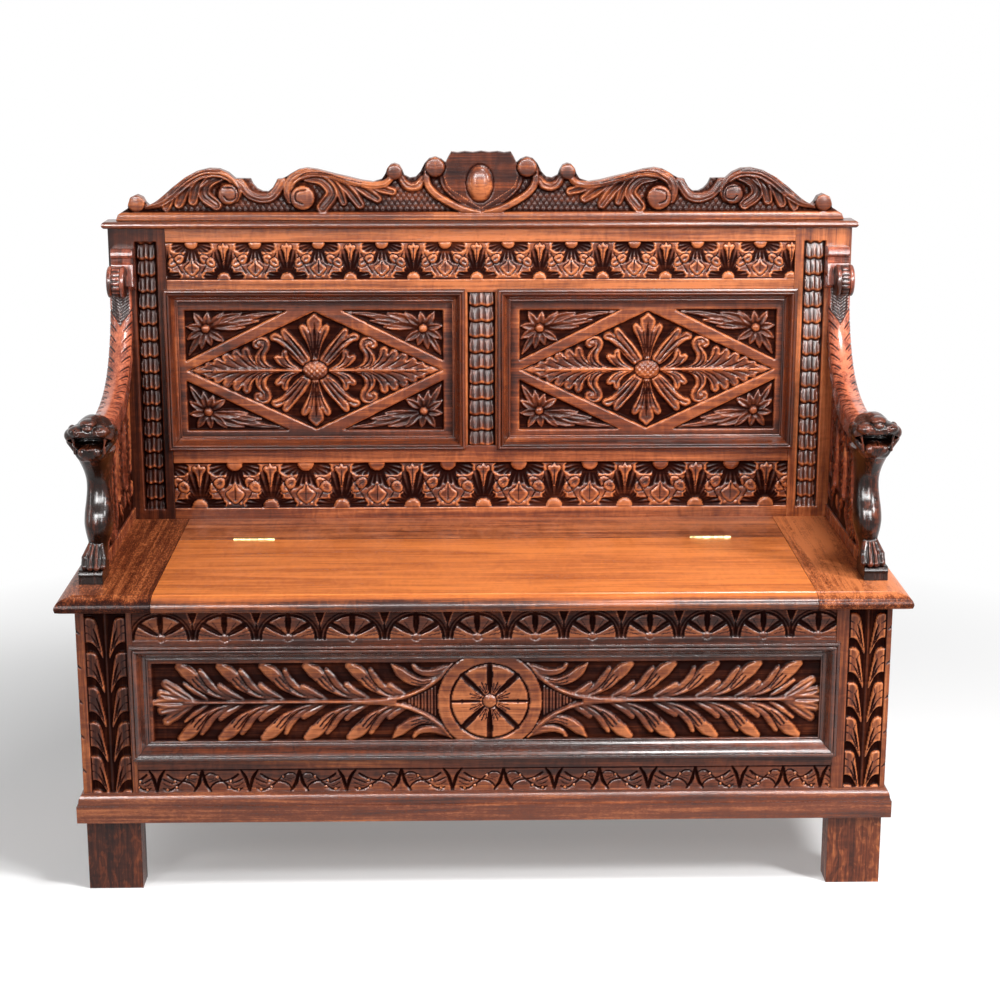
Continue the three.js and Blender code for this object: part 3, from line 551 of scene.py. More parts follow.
class Sculpt:
    """A carved lump held as distances on a grid, in millimetres, and skinned at the end."""

    def __init__(self, low: Sequence[float], high: Sequence[float], step: float) -> None:
        """Lays out the grid between two corners."""
        axes = [np.arange(a, b + step, step, dtype=np.float32) for a, b in zip(low, high)]
        self.low, self.step = np.array(low, float), step
        self.x, self.y, self.z = np.meshgrid(*axes, indexing="ij")
        self.field = np.full(self.x.shape, 60.0, np.float32)

    def ball(self, centre: Sequence[float], radii: Sequence[float]) -> Array:
        """Gives distances to an ellipsoid."""
        p = [(a - c) / r for a, c, r in zip((self.x, self.y, self.z), centre, radii)]
        q = [(a - c) / (r * r) for a, c, r in zip((self.x, self.y, self.z), centre, radii)]
        k = np.sqrt(p[0] ** 2 + p[1] ** 2 + p[2] ** 2)
        return k * (k - 1.0) / np.maximum(np.sqrt(q[0] ** 2 + q[1] ** 2 + q[2] ** 2), 1e-6)

    def rod(self, a: Sequence[float], b: Sequence[float], ra: float, rb: float | None = None) -> Array:
        """Gives distances to a round bar that may taper."""
        rb = ra if rb is None else rb
        d = np.subtract(b, a)
        t = ((self.x - a[0]) * d[0] + (self.y - a[1]) * d[1] + (self.z - a[2]) * d[2]) / float(d @ d)
        t = held(t)
        gap = [p - (c + t * s) for p, c, s in zip((self.x, self.y, self.z), a, d)]
        return np.sqrt(gap[0] ** 2 + gap[1] ** 2 + gap[2] ** 2) - (ra + t * (rb - ra))

    def add(self, shape: Array, blend: float) -> None:
        """Joins a shape on, with a fillet about as wide as blend."""
        h = held(0.5 + 0.5 * (self.field - shape) / blend)
        self.field = self.field * (1 - h) + shape * h - blend * h * (1 - h)

    def carve(self, shape: Array, blend: float) -> None:
        """Cuts a shape away, with softened edges."""
        other = -shape
        h = held(0.5 - 0.5 * (self.field - other) / blend)
        self.field = self.field * (1 - h) + other * h + blend * h * (1 - h)

    def shape(self, *steps: tuple) -> None:
        """Adds and carves in turn.

        Args:
            steps: the centre and radii of a ball, or a bar's two ends and one or two radii, and its blend; a negative
                blend carves.
        """
        for *form, blend in steps:
            distances = self.ball(*form) if len(form) == 2 else self.rod(*form)
            (self.add if blend > 0 else self.carve)(distances, abs(blend))

    def skin(self) -> tuple[Array, Array, Array]:
        """Draws the surface through the grid.

        Returns:
            The corners in millimetres, the four-cornered faces turned out, and how light each corner is: lighter on
            ridges as rubbed wear, darker in creases as painted shade.
        """
        f = self.field
        neg = f < 0
        cells = np.zeros(tuple(n - 1 for n in f.shape), bool)
        total = np.zeros(cells.shape + (3,), np.float32)
        hits = np.zeros(cells.shape, np.float32)

        def part(offset: Array) -> tuple[slice, ...]:
            """Gives the slices of the cells' corners at an offset."""
            return tuple(slice(o, n - 1 + o) for o, n in zip(offset, f.shape))

        for axis in range(3):
            for i, j in ((0, 0), (0, 1), (1, 0), (1, 1)):
                start, end = np.insert((i, j), axis, 0), np.insert((i, j), axis, 1)
                fa, fb = f[part(start)], f[part(end)]
                crossed = (fa < 0) != (fb < 0)
                t = np.where(crossed, fa / np.where(crossed, fa - fb, 1.0), 0.0)
                for k in range(3):
                    total[..., k] += np.where(crossed, start[k] + (t if k == axis else 0.0), 0.0)
                hits += crossed
                cells |= crossed
        where = np.argwhere(cells)
        ids = np.full(cells.shape, -1)
        ids[cells] = np.arange(len(where))
        local = total[cells] / hits[cells][:, None]
        corners = self.low + (where + local) * self.step
        faces = []
        for axis in range(3):
            o1, o2 = (axis + 1) % 3, (axis + 2) % 3
            low, high = ([slice(None)] * axis + [cut] + [slice(None)] * (2 - axis) for cut in (slice(0, -1),
                slice(1, None)))
            change = neg[tuple(low)] != neg[tuple(high)]
            place = np.argwhere(change)
            inner = (place[:, o1] > 0) & (place[:, o2] > 0)
            inner &= (place[:, o1] < f.shape[o1] - 1) & (place[:, o2] < f.shape[o2] - 1)
            place = place[inner]
            outward = neg[tuple(low)][tuple(place.T)]
            ring = []
            for s1, s2 in ((0, 0), (-1, 0), (-1, -1), (0, -1)):
                cell = place.copy()
                cell[:, o1] += s1
                cell[:, o2] += s2
                ring.append(ids[tuple(cell.T)])
            quads = np.stack(ring, axis=-1)
            faces.append(np.where(outward[:, None], quads, quads[:, ::-1]))
        # lighter on ridges and darker in creases: rubbed wear and painted shade
        cavity = blurred(np.clip(f, -6, 6), 5) - np.clip(f, -6, 6)
        worn_and_shaded = 0.5 + 0.5 * np.clip(cavity[tuple(where.T)], -0.6, 0.8)
        return corners, np.vstack(faces), held(worn_and_shaded)


@dataclass(frozen=True)
class OakFinish:
    """A polished oak: its colours from the recesses, darkened by dirt and painted shade, to the rubbed and lit parts,
    its polish and its figure.
    """

    name: str
    grain: Grain
    recess: Colour = (0.014, 0.0024, 0.0014)
    dark: Colour = (0.05, 0.011, 0.005)
    body: Colour = (0.175, 0.039, 0.013)
    rubbed_and_lit: Colour = (0.54, 0.165, 0.055)
    even: float | None = None
    mottle: float = 0.4
    streaks: float = 0.9
    shine: float = 0.26
    gloss: Point = (0.08, 0.42)
    lustre: float = 1.0
    flecks: float = 0.0
    fleck_scale: float = 1.0
    # front edge that the finish darkens, as painted shade on the nose
    nose: float | None = None

    def stretched(self, across: float, along: float) -> list[float]:
        """Gives noise scales that draw the figure out along the grain."""
        scale = [across, across, across]
        scale[self.grain.value] = along
        return scale

    def polish(self, build: "NodeBuilder", wear: Value, full: float) -> Value:
        """Gives full polish where hands reach, and hardly any in the recesses."""
        return full if self.even is not None else build.map_range(wear, *self.gloss, 0.06 * full, full)

    def material(self) -> bpy.types.Material:
        """Builds the node material, once for each finish."""
        name = f"{self.name}_{self.grain.name.lower()}"
        if name in bpy.data.materials:
            return bpy.data.materials[name]
        made = bpy.data.materials.new(name)
        build = NodeBuilder(made)
        where = build.shifted_place()
        layers = [(build.noise(where, self.stretched(across, along), detail, twist), strength) for across, along,
            detail, twist, strength in ((95.0, 3.0, 5.0, 0.6, self.streaks), (420.0, 9.0, 3.0, 0.0, 0.5),
            (26.0, 3.0, 4.0, 0.8, 0.8), (24.0, 60.0, 4.0, 1.4, self.mottle))]
        pores = build.ramp(build.noise(where, self.stretched(1500.0, 55.0), 1.0), [(0.34, (0, 0, 0)),
            (0.46, (1, 1, 1))])
        # the per-corner value read here carries rubbed wear and painted shade
        wear = build.node("Attribute", out="Fac", attribute_name="wear") if self.even is None else self.even
        total = wear
        for noise, strength in layers:
            total = build.math("MULTIPLY_ADD", noise, strength, build.math("ADD", total, -0.5 * strength))
        total = build.math("MULTIPLY_ADD", pores, 0.1, build.math("ADD", total, -0.09))
        if self.flecks:
            rays = build.noise(where, self.stretched(200.0 * self.fleck_scale, 70.0 * self.fleck_scale), 2.0, 2.4)
            total = build.math("MULTIPLY_ADD", build.map_range(rays, 0.5, 0.6, 0.0, 1.0), self.flecks,
                build.math("ADD", total, -0.3 * self.flecks))
        # darkens the front edge of the seat, as painted shade on the nose
        if self.nose is not None:
            depth = build.node("SeparateXYZ", {0: build.place()}, "Y")
            total = build.math("ADD", total, build.map_range(depth, self.nose + 0.003, self.nose + 0.014, -0.42, 0.0))
        grain = build.math("MULTIPLY_ADD", pores, 0.5, layers[1][0])
        shader = build.node("BsdfPrincipled", {"Base Color": build.ramp(total, [(0.0, self.recess), (0.25, self.dark),
            (0.55, self.body), (0.9, self.rubbed_and_lit)]), "Roughness": build.map_range(total, 0.0, 0.7, self.shine + 0.12,
            self.shine), "Coat Roughness": 0.18, "Coat Weight": self.polish(build, wear, 0.25 * self.lustre),
            "Specular IOR Level": self.polish(build, wear, 0.16 * self.lustre), "Normal": build.node("Bump",
            {"Strength": 0.3, "Distance": 0.0004, "Height": grain})})
        build.node("OutputMaterial", {"Surface": shader})
        return made


@dataclass(frozen=True)
class BrassFinish:
    """Aged brass with a dull brown bloom."""

    name: str = "aged_brass"
    bright: Colour = (0.55, 0.4, 0.18)
    bloom: Colour = (0.2, 0.13, 0.06)

    def material(self) -> bpy.types.Material:
        """Builds the node material once."""
        if self.name in bpy.data.materials:
            return bpy.data.materials[self.name]
        made = bpy.data.materials.new(self.name)
        build = NodeBuilder(made)
        patches = build.noise(build.shifted_place(), [90.0, 90.0, 90.0], 4.0)
        shader = build.node("BsdfPrincipled", {"Metallic": 1.0, "Base Color": build.ramp(patches,
            [(0.35, self.bloom), (0.6, self.bright)]), "Roughness": build.map_range(patches, 0.3, 0.7, 0.55, 0.3)})
        build.node("OutputMaterial", {"Surface": shader})
        return made


class NodeBuilder:
    """Short calls for the shader nodes that the finishes and the studio share."""

    def __init__(self, owner: bpy.types.Material | bpy.types.World) -> None:
        """Empties the node tree of a material or a world."""
        owner.use_nodes = True
        self.tree = owner.node_tree
        self.tree.nodes.clear()

    def node(self, kind: str, inputs: dict[str | int, Value] | None = None, out: str | int = 0,
            **settings: str) -> Value:
        """Adds a node.

        Args:
            kind: its kind, without the words ShaderNode.
            inputs: what goes into it; a socket is linked, and anything else is set.
            out: the output that is wanted.
            settings: the node's own settings.

        Returns:
            The wanted output, or None for a node without outputs.
        """
        node = self.tree.nodes.new(f"ShaderNode{kind}")
        for name, value in settings.items():
            setattr(node, name, value)
        for name, value in (inputs or {}).items():
            if isinstance(value, bpy.types.NodeSocket):
                self.tree.links.new(value, node.inputs[name])
            else:
                node.inputs[name].default_value = value
        return node.outputs[out] if node.outputs else None

    def place(self) -> Value:
        """Gives the place on the piece, in metres."""
        return self.node("TexCoord", out="Object")

    def shifted_place(self) -> Value:
        """Gives the place on the piece, shifted for each piece so that no two boards share their grain."""
        inputs = {0: self.node("ObjectInfo", out="Random"), 1: (7.0, 9.0, 5.0), 2: self.place()}
        return self.node("VectorMath", inputs, operation="MULTIPLY_ADD")

    def noise(self, where: Value, scale: Sequence[float], detail: float, distortion: float = 0.0) -> Value:
        """Gives noise stretched by a scale for each axis."""
        where = self.node("Mapping", {"Vector": where, "Scale": scale})
        inputs = {"Vector": where, "Scale": 1.0, "Detail": detail, "Distortion": distortion}
        return self.node("TexNoise", inputs, "Fac")

    def math(self, kind: str, *values: Value) -> Value:
        """Adds a math node."""
        return self.node("Math", dict(enumerate(values)), operation=kind)

    def ramp(self, value: Value, stops: Sequence[tuple[float, Colour]]) -> Value:
        """Adds a colour ramp with these stops."""
        colour = self.node("ValToRGB", {"Fac": value})
        elements = colour.node.color_ramp.elements
        while len(elements) < len(stops):
            elements.new(1.0)
        for element, (position, stain) in zip(elements, stops):
            element.position, element.color = position, (*stain, 1.0)
        return colour

    def map_range(self, value: Value, low: float, high: float, first: float, last: float) -> Value:
        """Maps a number from one range to another."""
        return self.node("MapRange", {"Value": value, "From Min": low, "From Max": high, "To Min": first,
            "To Max": last})

    def seen_ray(self) -> Value:
        """Tells the rays that the camera, gloss or glass sees from those that only light the object."""
        camera, gloss, glass = (self.node("LightPath", out=f"Is {kind} Ray") for kind in ("Camera", "Glossy",
            "Transmission"))
        return self.math("MAXIMUM", self.math("MAXIMUM", camera, gloss), glass)


def dress(piece: Piece, finish: OakFinish | BrassFinish) -> None:
    """Gives a piece its only material."""
    piece.data.materials.clear()
    piece.data.materials.append(finish.material())


def set_in(piece: Piece, finish: OakFinish, slot: Slot, *replaces: str) -> Piece:
    """Dresses a new piece, joins it to the bench and lets it stand for its solids.

    Args:
        piece: the new piece.
        finish: its finish.
        slot: the record's slot that the finish stands for; not used.
        replaces: the nodes it stands for.

    Returns:
        The piece.
    """
    dress(piece, finish)
    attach(piece, BODY)
    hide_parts(*replaces)
    return piece


@dataclass(frozen=True)
class Extent:
    """A node's box in millimetres."""

    x0: float
    x1: float
    y0: float
    y1: float
    z0: float
    z1: float

    @classmethod
    def of(cls, node: str) -> "Extent":
        """Reads a node's box."""
        low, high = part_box(node)
        return cls(*(value / MM for pair in zip(low, high) for value in pair))


class CarvedBoard:
    """A flat board whose front face is carved."""

    def __init__(self, node: str, finish: OakFinish, step: float = 1.3, ground: float = -5.0,
            wear: float = 0.55) -> None:
        """Reads the board's size from its solid."""
        self.node, self.finish, self.box = node, finish, Extent.of(node)
        self.face = Relief(self.box.x0, self.box.x1, self.box.z0, self.box.z1, step, ground, wear)

    def build(self) -> Piece:
        """Makes the carved board in the place of its solid."""
        self.face.soften()
        box = self.box
        board = relief_solid(f"{self.node}_carved", self.face, facing_front(box.y0), box.y0 - box.y1)
        return set_in(board, self.finish, Slot.CARVED, self.node)


@dataclass
class Palmettes:
    """A band of fluted shells that hang and stand by turns, with hearts and kite leaves between."""

    z0: float
    z1: float
    pitch: float
    hanging: float
    tone: float
    boss: float = 14
    drawn_rise: float = 78
    hanging_reach: tuple[tuple[float, ...], tuple[float, ...]] = ((0, 6, 18, 27, 37, 47, 56, 60, 66, 71, 76, 90),
        (42, 47, 49.5, 47, 40, 33, 28, 38, 50, 46, 40, 36))
    standing_reach: tuple[tuple[float, ...], tuple[float, ...]] = ((0, 8, 18, 27, 34, 40, 48, 56, 62, 68, 74, 78, 82,
        86, 90), (46, 49, 46, 36, 29, 31, 34, 33, 35, 50, 65, 66, 60, 42, 36))
    kite: tuple[Point, ...] = ((0, 33), (6, 44), (16.5, 54), (11, 65), (0, 73), (-11, 65), (-16.5, 54), (-6, 44))
    fleur: tuple[Point, ...] = ((0, 34), (4, 46), (6.5, 58), (12, 67), (9, 73), (4, 72), (0, 78), (-4, 72), (-9, 73),
        (-12, 67), (-6.5, 58), (-4, 46))
    heart: tuple[Point, ...] = ((17, 31), (19.5, 41), (27, 46), (35, 42), (37.5, 34), (31, 27), (22, 25.5))

    def carve(self, face: Relief) -> None:
        """Cuts the band into a rail."""
        band = (face.vv > self.z0) & (face.vv < self.z1)
        face.level(band, -1.4, self.tone - 0.06)
        # the beads along the band's edges are lightened, rubbed wear and a painted highlight; the vees beside them are
        # darkened as painted shade
        for z, side in ((self.z0, -1), (self.z1, 1)):
            face.vee((face.u0, z, face.u1, z), 1.4, 3.4, 0.1)
            face.stroke((face.u0, z + side * 2.6, face.u1, z + side * 2.6), 1.4, ROUND, 0.5, 0.9)
        count = int((face.u1 - face.u0) / self.pitch) + 2
        scale = (self.z1 - self.z0) / self.drawn_rise
        for k in range(-count, count + 1):
            x = self.hanging + k * self.pitch
            for here in (face.at(x, self.z1, 1, -1), face.at(x + self.pitch / 2, self.z0)):
                if face.u0 - self.pitch / 2 < here.spot.u < face.u1 + self.pitch / 2:
                    self.shell(here, scale)
                    self.leaves(here, scale)

    def leaves(self, here: Relief, k: float) -> None:
        """Raises the hearts and the kite or the small three-lobed leaf, each in its outline, a cut darkened as painted
        shade.
        """
        middle = self.kite if here.spot.sv < 0 else self.fleur
        hearts = [[(side * u, v) for u, v in self.heart] for side in (-1, 1)]
        for shape in (middle, *hearts):
            loop = [(u * k, v * k) for u, v in shape]
            here.vee([*loop, loop[0]], 1.9, 4.6, 0.04)
            here.raised(loop, -0.1, 2.6, (self.tone + 0.22, self.tone - 0.06), dish=0.8)
        for side in (-1, 1):
            if here.spot.sv < 0:
                here.vee((side * 21 * k, 66 * k, side * 45 * k, 24 * k), 1.4, 4.2, 0.05)
                # the pearl is lightened as a painted highlight
                here.dome((side * 9.5 * k, 72 * k), 2.4, 0.6, -3, 0.5, 0.95)
            here.vee((side * 23 * k, 33 * k, side * 31 * k, 38 * k), 1, 2.4, 0.2)
        here.vee((0, 38 * k, 0, 66 * k), 1.1, 2.8, 0.1)

    def shell(self, here: Relief, k: float) -> None:
        """Hollows the fluted wings, dark inside as painted shade, with their lips and ridges lighter as rubbed wear
        and painted highlight, and rounds the boss between them.
        """
        du, dv = here.uu - here.spot.u, (here.vv - here.spot.v) * here.spot.sv
        far, angle = np.hypot(du, dv), np.degrees(np.arctan2(dv, np.abs(du)))
        reach = k * np.interp(angle, *(self.hanging_reach if here.spot.sv < 0 else self.standing_reach))
        boss = self.boss * k
        wing = (far < reach) & (dv > 0.9)
        share = held((far - boss) / np.maximum(reach - boss, 1))
        ridge = np.abs(np.cos(pi * angle / 12.6)) ** 2.2
        # the lip and the ridges are lightened as rubbed wear and painted highlight; the hollow and the ring round the
        # boss are darkened as painted shade
        lip = held((far - reach + 5.2) / 3.6) * (angle < 58)
        hollow = -5.6 + 3.2 * ridge * (0.3 + 0.7 * share) + 0.8 * share + 4.6 * lip * (1 - 0.6 * ridge)
        here.level(wing, np.minimum(hollow, 0), held(0.03 + 0.4 * ridge * share + 0.95 * lip))
        edge = (far < boss + 1.8) & (dv > 0)
        here.level(edge, -4.8, 0.03)
        disc = (far < boss) & (dv > 0)
        here.level(disc, 0.3 - 2.4 * (far / boss) ** 6, self.tone + 0.3 * (far / boss) ** 4)


@dataclass
class Husks:
    """A string of fluted husks, each hanging out of the one above."""

    x: float
    half: float
    top: float
    foot: float
    pitch: float
    depth: float = 6.5
    tone: float = 0.2

    def carve(self, face: Relief) -> None:
        """Cuts the string down a stile."""
        s = (face.uu - self.x) / self.half
        a = np.clip(np.abs(s), 0, 1.2)
        edge = 3.2 * np.sin(pi * held(a)) - 2 * a**3
        cycles = (self.top - face.vv - edge) / self.pitch
        part = cycles - np.floor(cycles)
        bell = held(part / 0.84) ** 0.75 - 2.4 * held(part - 0.9)
        flute = 0.42 + 0.58 * np.abs(np.cos(2 * pi * s)) ** 0.7
        channel = (a < 1.1) & (face.vv < self.top) & (face.vv > self.foot)
        # the channel between the husks is darkened as painted shade
        face.level(channel, -self.depth - 1.2, 0.02)
        bells = channel & (a < 0.86 + 0.14 * held(part * 1.4))
        face.height[bells] = (-self.depth * (1 - bell * flute))[bells]
        # the lips and flute ridges are lightened, partly rubbed wear and partly a painted highlight
        lip = held((part - 0.76) / 0.08) * held((0.99 - part) / 0.03)
        face.tone[bells] = (self.tone + 0.12 * flute + 0.34 * lip)[bells]


class BackFrame:
    """The framed back: posts, rails and muntin with their carving."""

    finish_post = OakFinish("carved_post", Grain.ALONG_Z, gloss=(-0.05, 0.2), lustre=1.3)
    finish_shaded = OakFinish("shaded_post", Grain.ALONG_Z)
    finish_rail = OakFinish("carved_rail", Grain.ALONG_X)

    def build(self) -> Iterable[Piece]:
        """Carves the posts, the rails and the muntin."""
        for side in Side:
            # the left post and its husks get lower tones as painted shade, the right ones higher as painted light
            finish = self.finish_shaded if side is Side.LEFT else self.finish_post
            post = CarvedBoard(f"back_post_{side.name.lower()}", finish, 1.2,
                wear=0.22 if side is Side.LEFT else 0.64)
            Husks(side.value * 577, 16, 985, 514, 28.3, tone=0.08 if side is Side.LEFT else 0.26).carve(post.face)
            yield post.build()
        top = CarvedBoard("back_top_rail", self.finish_rail, 1.2, wear=0.72)
        Palmettes(922, 984, 109, -62.5, 0.56).carve(top.face)
        yield top.build()
        seat = CarvedBoard("back_seat_rail", self.finish_rail, 1.42, wear=0.58)
        Palmettes(516, 595, 125.5, -59.6, 0.54).carve(seat.face)
        yield seat.build()
        muntin = CarvedBoard("back_muntin", self.finish_shaded, 1.2, wear=0.66)
        Husks(0, 22, 903, 600, 27.6).carve(muntin.face)
        yield muntin.build()


@dataclass
class LozengePanel:
    """A back panel: a strapwork lozenge of acanthus, and a flower with fluted leaves in each corner."""

    side: Side
    x: float = 290.8
    z: float = 759.4
    half_width: float = 224
    half_height: float = 105.5
    inner: Point = (222, 104.2)
    outer: Point = (259.2, 129.7)
    flower: Point = (189.2, 73.5)
    finish: OakFinish = OakFinish("carved_panel", Grain.ALONG_X)
    broad: tuple[float, ...] = (8, 19, 15, 32, 23, 44, 35, 57, 45, 69, 52, 75, 59, 71, 58, 61, 54, 55, 61, 64, 70,
        66.5, 78, 61, 76, 53, 66, 49.5, 52, 38, 39, 23, 25, 10, 16, 8)
    crook: tuple[float, ...] = (60, 3, 75, 7, 84, 16, 85, 27, 79, 37, 77, 48, 83, 57.5, 95, 59.5, 107, 54, 109, 43,
        101, 37.5, 93, 42, 100, 34, 105, 24, 104, 13, 96, 5, 84, 2)
    small: tuple[float, ...] = (26, 3, 38, 11, 46, 21, 48, 33, 54, 37, 59, 31, 60, 26, 66, 28.5, 72, 23, 67, 14, 57,
        6.5, 42, 2)
    feather: tuple[float, ...] = (88, 1, 101, 10, 110, 24, 114, 38, 122, 42, 128, 36, 128, 29, 135, 37, 143, 35, 146,
        27, 143, 22, 152, 31, 160, 30, 163, 22, 160, 17, 170, 23.5, 178, 21, 179, 15, 190, 14.5, 194, 9, 204, 6.5,
        213, 1.5, 210, -2, 150, -2)
    crown: tuple[float, ...] = (4.5, 16, 9, 34, 16, 52, 24.5, 67, 26.5, 77, 20.5, 82, 13.5, 77, 10, 70, 13.5, 80, 13,
        89, 7, 95, 0, 101, -7, 95, -13, 89, -13.5, 80, -10, 70, -13.5, 77, -20.5, 82, -26.5, 77, -24.5, 67, -16, 52,
        -9, 34, -4.5, 16)
    flutes: tuple[tuple[tuple[float, ...], float], ...] = (((14, 18, 28, 38, 41, 55, 50, 67), 2),
        ((20, 15, 35, 34, 50, 50, 62, 57, 71, 59), 2.1), ((24, 13, 38, 27, 52, 42), 1.5), ((68, 3.5, 85, 8, 94, 18,
        94, 30, 88, 40, 87, 50), 2.1), ((78, 3, 93, 7, 100, 17, 99, 27), 1.4), ((85, 52, 95, 54, 103, 48), 1.5),
        ((32, 4, 45, 11, 53, 22, 55, 31), 1.7), ((42, 4, 55, 10, 64, 21), 1.7), ((92, 2.5, 107, 11, 117, 24, 121, 37),
        2), ((101, 2.5, 118, 11, 130, 23, 137, 33), 1.9), ((116, 2.5, 133, 10, 146, 19, 153, 28), 1.8),
        ((133, 2, 150, 7, 164, 14, 171, 20), 1.7), ((152, 1.5, 168, 5, 180, 10, 187, 12), 1.4),
        ((172, 1, 187, 3, 200, 5), 1.1), ((97, 7, 109, 20, 114, 32), 1.1), ((112, 8, 124, 18, 130, 28), 1.1),
        ((128, 8, 140, 15, 147, 23), 1))
    petals: tuple[tuple[Point, Point, float], ...] = (((-30, 17), (-62, 26.5), 8.5), ((-48, 14), (-100, 23.5), 6.6),
        ((-72, 22), (-132, 29), 4.6), ((-36, 5), (-68, 3), 9), ((-52, 9), (-92, 13.5), 6), ((-16, -12), (-30, -21),
        7.6), ((-5, -16), (-9, -29), 6.8), ((5, -16), (8, -35), 7), ((15, -20), (30, -45), 6.4),
        ((18, -9), (31.5, -18), 7), ((18, 3), (32, 4), 7.2), ((11, 14), (19, 28), 7.4), ((-2, 15), (-4, 28.5), 7),
        ((-17, 14), (-31, 28), 7.4))

    def build(self) -> Iterable[Piece]:
        """Carves the panel."""
        board = CarvedBoard(f"back_panel_{self.side.name.lower()}", self.finish, 1.3, -6, wear=0.5)
        face, centre = board.face, self.side.value * self.x
        du, dv = face.uu - centre, face.vv - self.z
        sunk = (np.abs(du) < self.half_width) & (np.abs(dv) < self.half_height)
        across = [np.abs(du) / a + np.abs(dv) / b for a, b in (self.inner, self.outer)]
        lozenge, corners = sunk & (across[0] < 1), sunk & (across[1] > 1)
        beyond = np.maximum(np.abs(du) - self.half_width, np.abs(dv) - self.half_height)
        # darker margin out towards the moulding: painted shadow of the moulding
        face.tone[:] = np.interp(beyond, (-2, 4, 14), (0.5, 0.44, 0.16))
        planed = face.height.copy(), face.tone.copy()
        face.sink(lozenge | corners, 6, 0.1)
        for su in (-1, 1):
            for sv in (-1, 1):
                self.quarter(face.at(centre, self.z, su, sv))
                self.corner(face.at(centre + su * self.flower[0], self.z + sv * self.flower[1], su, sv))
            face.at(centre, self.z, su, 1).stroke((16, 0, 90, 0.6, 160, 0, 221, 0), (2.8, 2.6, 2.2, 1.8, 0.8), ROUND,
                (0.4, 0.9, 0.5, -1.2), (0.6, 0.74))
            here = face.at(centre, self.z, 1, su)
            here.raised(self.crown, 0, 3.2, (0.6, 0.34), dish=1)
            for side in (-1, 1):
                for path in ((0, 20, side * 1.5, 50, 0, 84), (side * 4, 20, side * 9, 46, side * 18, 70),
                        (side * 2.5, 22, side * 5.5, 50, side * 8, 68)):
                    here.stroke(path, (0.8, 1.9, 1.9, 0.8), VEE, -3.8, (0.04, 0.14))
        strap = ~(lozenge | corners)
        face.level(strap, *planed)
        # the strap's arrises are lightened, rubbed wear and a painted highlight, and the ground at their foot darkened
        # as painted shade
        for mask, value, line in ((lozenge, across[0], self.inner), (corners, across[1], self.outer)):
            unit = hypot(1 / line[0], 1 / line[1])
            arris = strap & sunk & (np.abs(value - 1) / unit < 1.5)
            face.level(arris, -0.5, 0.84)
            foot = mask & (np.abs(value - 1) / unit < 1.2)
            face.level(foot, -4.2, 0.04)
        self.boss(face, centre)
        yield board.build()

    def quarter(self, here: Relief) -> None:
        """Raises the lobed leaves of one quarter of the lozenge and cuts their flutes."""
        for shape, top in ((self.feather, -0.6), (self.small, -0.4), (self.crook, -0.2), (self.broad, 0.2)):
            here.raised(shape, top, 3.4, (0.6, 0.34), dish=1.2)
        for path, half in self.flutes:
            here.stroke(path, (0.6, half, half * 1.15, 0.7), VEE, (-3.4, -4.2, -2.6), (0.03, 0.14))
        here.dome((97, 47), (5, 4.6), -0.2, -4, 0.5, 0.55)

    def boss(self, face: Relief, centre: float) -> None:
        """Raises the cross-cut boss at the middle."""
        face.dome((centre, self.z), (23.6, 18), -5.2, -5.2, 0.5, 0.04)
        face.dome((centre, self.z), (21.5, 16), 3, -2.6, 0.42, 0.5)
        square = ((face.uu - centre) / 21.5) ** 2 + ((face.vv - self.z) / 16) ** 2
        face.lattice(square < 0.93, 7, 45, 3.2)

    def corner(self, here: Relief) -> None:
        """Raises the flower and the fluted leaves round it; u runs outwards and v to the margin."""
        for bend, tip, half in self.petals:
            here.stroke([(bend[0] * 0.3, bend[1] * 0.3), bend, tip], (2, half * 0.8, half, half * 0.8, 1.6), CUPPED,
                (-3.8, -1.2, -0.6, -1.4), (0.12, 0.5))
        here.dome((0, 0), 8.8, -5.4, -5.4, 0.5, 0.04)
        here.dome((0, 0), 7.2, 0.6, -3, 0.4, 0.5)


